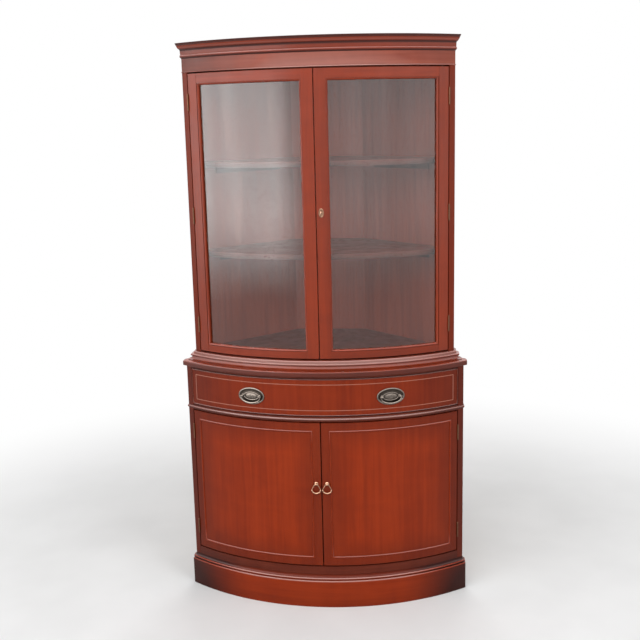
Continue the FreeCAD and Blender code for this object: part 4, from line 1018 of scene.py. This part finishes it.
def lock_and_key():
    place = front_frame(BOW, LOCK_ANGLE, KEY_Z)

    def lock(bm):
        """The escutcheon, and the lock's case behind the door."""
        loft(bm, oval_rings(BOW, LOCK_ANGLE, KEY_Z, in_mm(ESCUTCHEON_RINGS), sides=40))
        for across, up, inward in LOCK_PLATES:
            middle = (sum(across) / 2 * MM, sum(up) / 2 * MM, -DOOR_DEPTH - sum(inward) / 2 * MM)
            block(bm, place, middle, [(last - first) * MM for first, last in (across, up, inward)])

    def key(bm):
        lathe(bm, in_mm(KEY_STEM), place.translation, outward(place))
        ring = []
        for turn in circle(32):
            up, out = KEY_BOW_RISE * math.sin(turn), KEY_BOW_AT + KEY_BOW_OUT * math.cos(turn)
            ring.append(place @ Vector((0.0, up, out)))
        tube(bm, ring, [KEY_BOW_WIRE] * len(ring), closed=True)
        block(bm, place, KEY_BIT_AT, KEY_BIT)

    piece("hutch_door_right_escutcheon", lock, BRASS, "hutch_door_right", ["hutch_door_right_lock"])
    piece("key_turned", key, BRASS, "key", ["key"])


HINGE_LENGTH = 50 * MM
HINGE_LEAF = 1.3 * MM  # thickness of a leaf
HINGE_LEAF_WIDTH = 16.5 * MM
HINGE_LEAF_BACK = 11 * MM  # pin to the middle of a leaf
HINGE_LEAF_PLAY = 0.04 * MM  # between a leaf and the wood that it lies on
HINGE_BARREL = 2.6 * MM
HINGE_PROUD = 2.4 * MM
HINGE_SPLIT = 0.3 * MM
HINGE_KNUCKLE = (HINGE_LENGTH - 2 * HINGE_SPLIT) / 3
KNUCKLE_EASE = 0.35 * MM
FINIAL = 2 * MM


def knuckle(bm, place, z0, z1):
    """A rolled knuckle with softened ends."""
    end = HINGE_BARREL - KNUCKLE_EASE
    section = [(z0, end), (z0 + KNUCKLE_EASE, HINGE_BARREL), (z1 - KNUCKLE_EASE, HINGE_BARREL),
               (z1, end)]
    lathe(bm, section, place.translation, (0, 0, 1), sides=20)


def leaf(bm, place, side):
    """A thin leaf in the joint; side says which half of the joint it lines."""
    x = side * (GAP / 2 - HINGE_LEAF / 2 - HINGE_LEAF_PLAY)
    block(bm, place, (x, 0.0, -HINGE_LEAF_BACK), (HINGE_LEAF, HINGE_LENGTH, HINGE_LEAF_WIDTH))


def hinge_sets():
    """The doors' leaves and middle knuckles, then the case's leaves, end knuckles and finials."""
    case_places = []
    for name, radius, post_angle, count in (
            ("hutch_door", BOW, POST_ANGLE, 3), ("base_door", BASE_BOW, BASE_POST_ANGLE, 2)):
        for side, hand in ((-1, "left"), (1, "right")):
            node = f"{name}_{hand}_hinges"
            first, last = low(node).z + HINGE_LENGTH / 2, high(node).z - HINGE_LENGTH / 2
            angle = side * (post_angle - GAP / 2 / radius)
            places = [(front_frame(radius + HINGE_PROUD, angle, z), side)
                      for z in spaced(first, last, count - 1)]
            case_places += places

            def door_leaves(bm):
                for place, hinge_side in places:
                    leaf(bm, place, -hinge_side)
                    knuckle(bm, place, -HINGE_KNUCKLE / 2, HINGE_KNUCKLE / 2)

            piece(f"{name}_{hand}_hinge_leaves", door_leaves, HINGE_BRASS, f"{name}_{hand}", [node])

    def case_leaves(bm):
        for place, hinge_side in case_places:
            leaf(bm, place, hinge_side)
            for end in (-1, 1):
                ends = sorted((end * (HINGE_KNUCKLE / 2 + HINGE_SPLIT), end * HINGE_LENGTH / 2))
                knuckle(bm, place, *ends)
                tip = place.translation + Vector((0, 0, end * HINGE_LENGTH / 2))
                lathe(bm, ball(FINIAL, 0.8), tip, (0, 0, 1), sides=16)

    piece("case_hinge_leaves", case_leaves, HINGE_BRASS, "case", ["case_hinges"])


# ---- studio

CAMERA_AT = Vector((0.2833, -3.1413, 1.5732))
CAMERA_YAW = 5.458
CAMERA_DOWN = 11.721
CAMERA_ROLL = -1.385
LENS = 53.44  # for a 36 mm wide sensor and a square frame
AIM = Vector((0.0, 0.0, 0.95))  # what the lamps point at
SKY_GLOW = 0.3  # even light from all round
LEFT_GLOW = 5.0  # what gloss and glass show of the room, above the backdrop's white
RIGHT_GLOW = 1.1
CEILING_GLOW = 4.0
FLOOR_REACHES = (0.05, 1.0, 2.0, 4.0, 6.0)
FLOOR_SIDES = 64
FLOOR_Z = -0.0002  # just under the plinth
LAMPS = (  # name, place, width, power
    ("key", (-2.5, -2.4, 1.95), 2.4, 50), ("fill", (2.5, -2.4, 1.9), 2.2, 52),
    ("front", (-0.3, -3.5, 3.0), 1.9, 40), ("top", (0.1, -0.6, 3.7), 1.6, 30),
    ("back", (0.0, 2.6, 2.4), 2.0, 36))


def camera():
    data = bpy.data.cameras.new("camera")
    data.lens = LENS
    data.sensor_width = 36.0
    turn = Matrix.Rotation(math.radians(CAMERA_YAW), 4, "Z")
    turn = turn @ Matrix.Rotation(math.radians(90 - CAMERA_DOWN), 4, "X")
    turn = turn @ Matrix.Rotation(math.radians(CAMERA_ROLL), 4, "Z")
    made = new_object("camera", data)
    made.matrix_world = Matrix.Translation(CAMERA_AT) @ turn
    bpy.context.scene.camera = made


def lamp(name, at, size, power):
    """A square soft box, aimed at the cabinet, that gloss and glass don't show."""
    data = bpy.data.lights.new(name, "AREA")
    data.size = size
    data.energy = power
    made = new_object(name, data)
    made.location = at
    made.rotation_euler = (AIM - Vector(at)).to_track_quat("-Z", "Y").to_euler()
    made.visible_glossy = made.visible_transmission = False


def world():
    """White to the camera, even light on the cabinet, a soft room in gloss and glass."""
    sky = bpy.data.worlds.new("studio")
    bpy.context.scene.world = sky
    sky.use_nodes = True
    tree = sky.node_tree
    tree.nodes.clear()
    path = add(tree, "LightPath").outputs
    toward = add(tree, "TexCoord").outputs["Generated"]
    right, back, up = add(tree, "SeparateXYZ", {0: toward}).outputs
    room = maths(tree, "MULTIPLY", limits(tree, right, -0.6, -0.15, LEFT_GLOW, RIGHT_GLOW),
                 limits(tree, back, -0.3, 0.05, 1.0, 0.0))
    room = maths(tree, "MULTIPLY", room, limits(tree, up, -0.19, -0.08))
    clouds = noise(tree, toward, 2.6, 2.0)
    room = maths(tree, "MULTIPLY", room, limits(tree, clouds, 0.3, 0.7, 0.7, 1.15))
    ceiling = limits(tree, up, 0.2, 0.7, 0.0, CEILING_GLOW)
    mirrored = maths(tree, "ADD", maths(tree, "ADD", 1.0, room), ceiling)
    bounced = maths(tree, "MAXIMUM", path["Is Glossy Ray"], path["Is Transmission Ray"])
    bounced = maths(tree, "MULTIPLY", bounced, maths(tree, "LESS_THAN", path["Diffuse Depth"], 0.5))
    unseen = add(tree, "Mix", {0: bounced, 2: SKY_GLOW, 3: mirrored}).outputs[0]
    strength = add(tree, "Mix", {0: path["Is Camera Ray"], 2: unseen, 3: 1.0}).outputs[0]
    light = add(tree, "Background", {"Color": WHITE, "Strength": strength})
    add(tree, "OutputWorld", {0: light.outputs[0]})


def floor():
    """A pale floor that fades to white away from the cabinet and keeps its shadow."""
    bm = bmesh.new()
    rings = []
    for reach in FLOOR_REACHES:
        rings.append([bm.verts.new((reach * math.cos(turn), reach * math.sin(turn), FLOOR_Z))
                      for turn in circle(FLOOR_SIDES)])
    bm.faces.new(rings[0])
    for near, far in zip(rings, rings[1:]):
        for index in range(FLOOR_SIDES):
            after = (index + 1) % FLOOR_SIDES
            bm.faces.new((near[index], far[index], far[after], near[after]))
    mesh = new_mesh("floor", bm)
    material, tree = new_material("studio_floor")
    path = add(tree, "LightPath").outputs
    seen = maths(tree, "MAXIMUM", path["Is Camera Ray"], path["Is Glossy Ray"])
    seen = maths(tree, "MAXIMUM", seen, path["Is Transmission Ray"])
    spot = add(tree, "TexCoord").outputs["Object"]
    away = add(tree, "VectorMath", {0: spot}, operation="LENGTH").outputs["Value"]
    fade = maths(tree, "MULTIPLY", limits(tree, away, 0.9, 2.4), seen)
    grey = limits(tree, noise(tree, spot, 3.0), 0.3, 0.7, 0.8, 0.84)
    shade = add(tree, "CombineColor", {0: grey, 1: grey, 2: grey}).outputs[0]
    dull = add(tree, "BsdfDiffuse", {0: shade})
    white = add(tree, "Emission", {0: WHITE, 1: 1.0})
    both = add(tree, "MixShader", {0: fade, 1: dull.outputs[0], 2: white.outputs[0]})
    add(tree, "OutputMaterial", {0: both.outputs[0]})
    mesh.materials.append(material)
    new_object("floor", mesh)


def studio():
    bpy.context.scene.view_settings.view_transform = "Standard"
    camera()
    world()
    floor()
    for row in LAMPS:
        lamp(*row)


# ---- cabinet

studio()
plain_case()
case_mouldings()
ledge()
bow_rails()
posts()
shelves()
for hand, hand_side in (("left", -1), ("right", 1)):
    glazed_door("hutch_door_" + hand, hand_side)
    lower_door("base_door_" + hand, hand_side)
    lower_pull("base_door_" + hand, hand_side)
    bail(hand_side)
drawer_face()
piece("drawer_pulls", pull_plates, AGED_BRASS, "drawer", ["drawer_pull_plates"], 0.0, recessed)
lock_and_key()
hinge_sets()
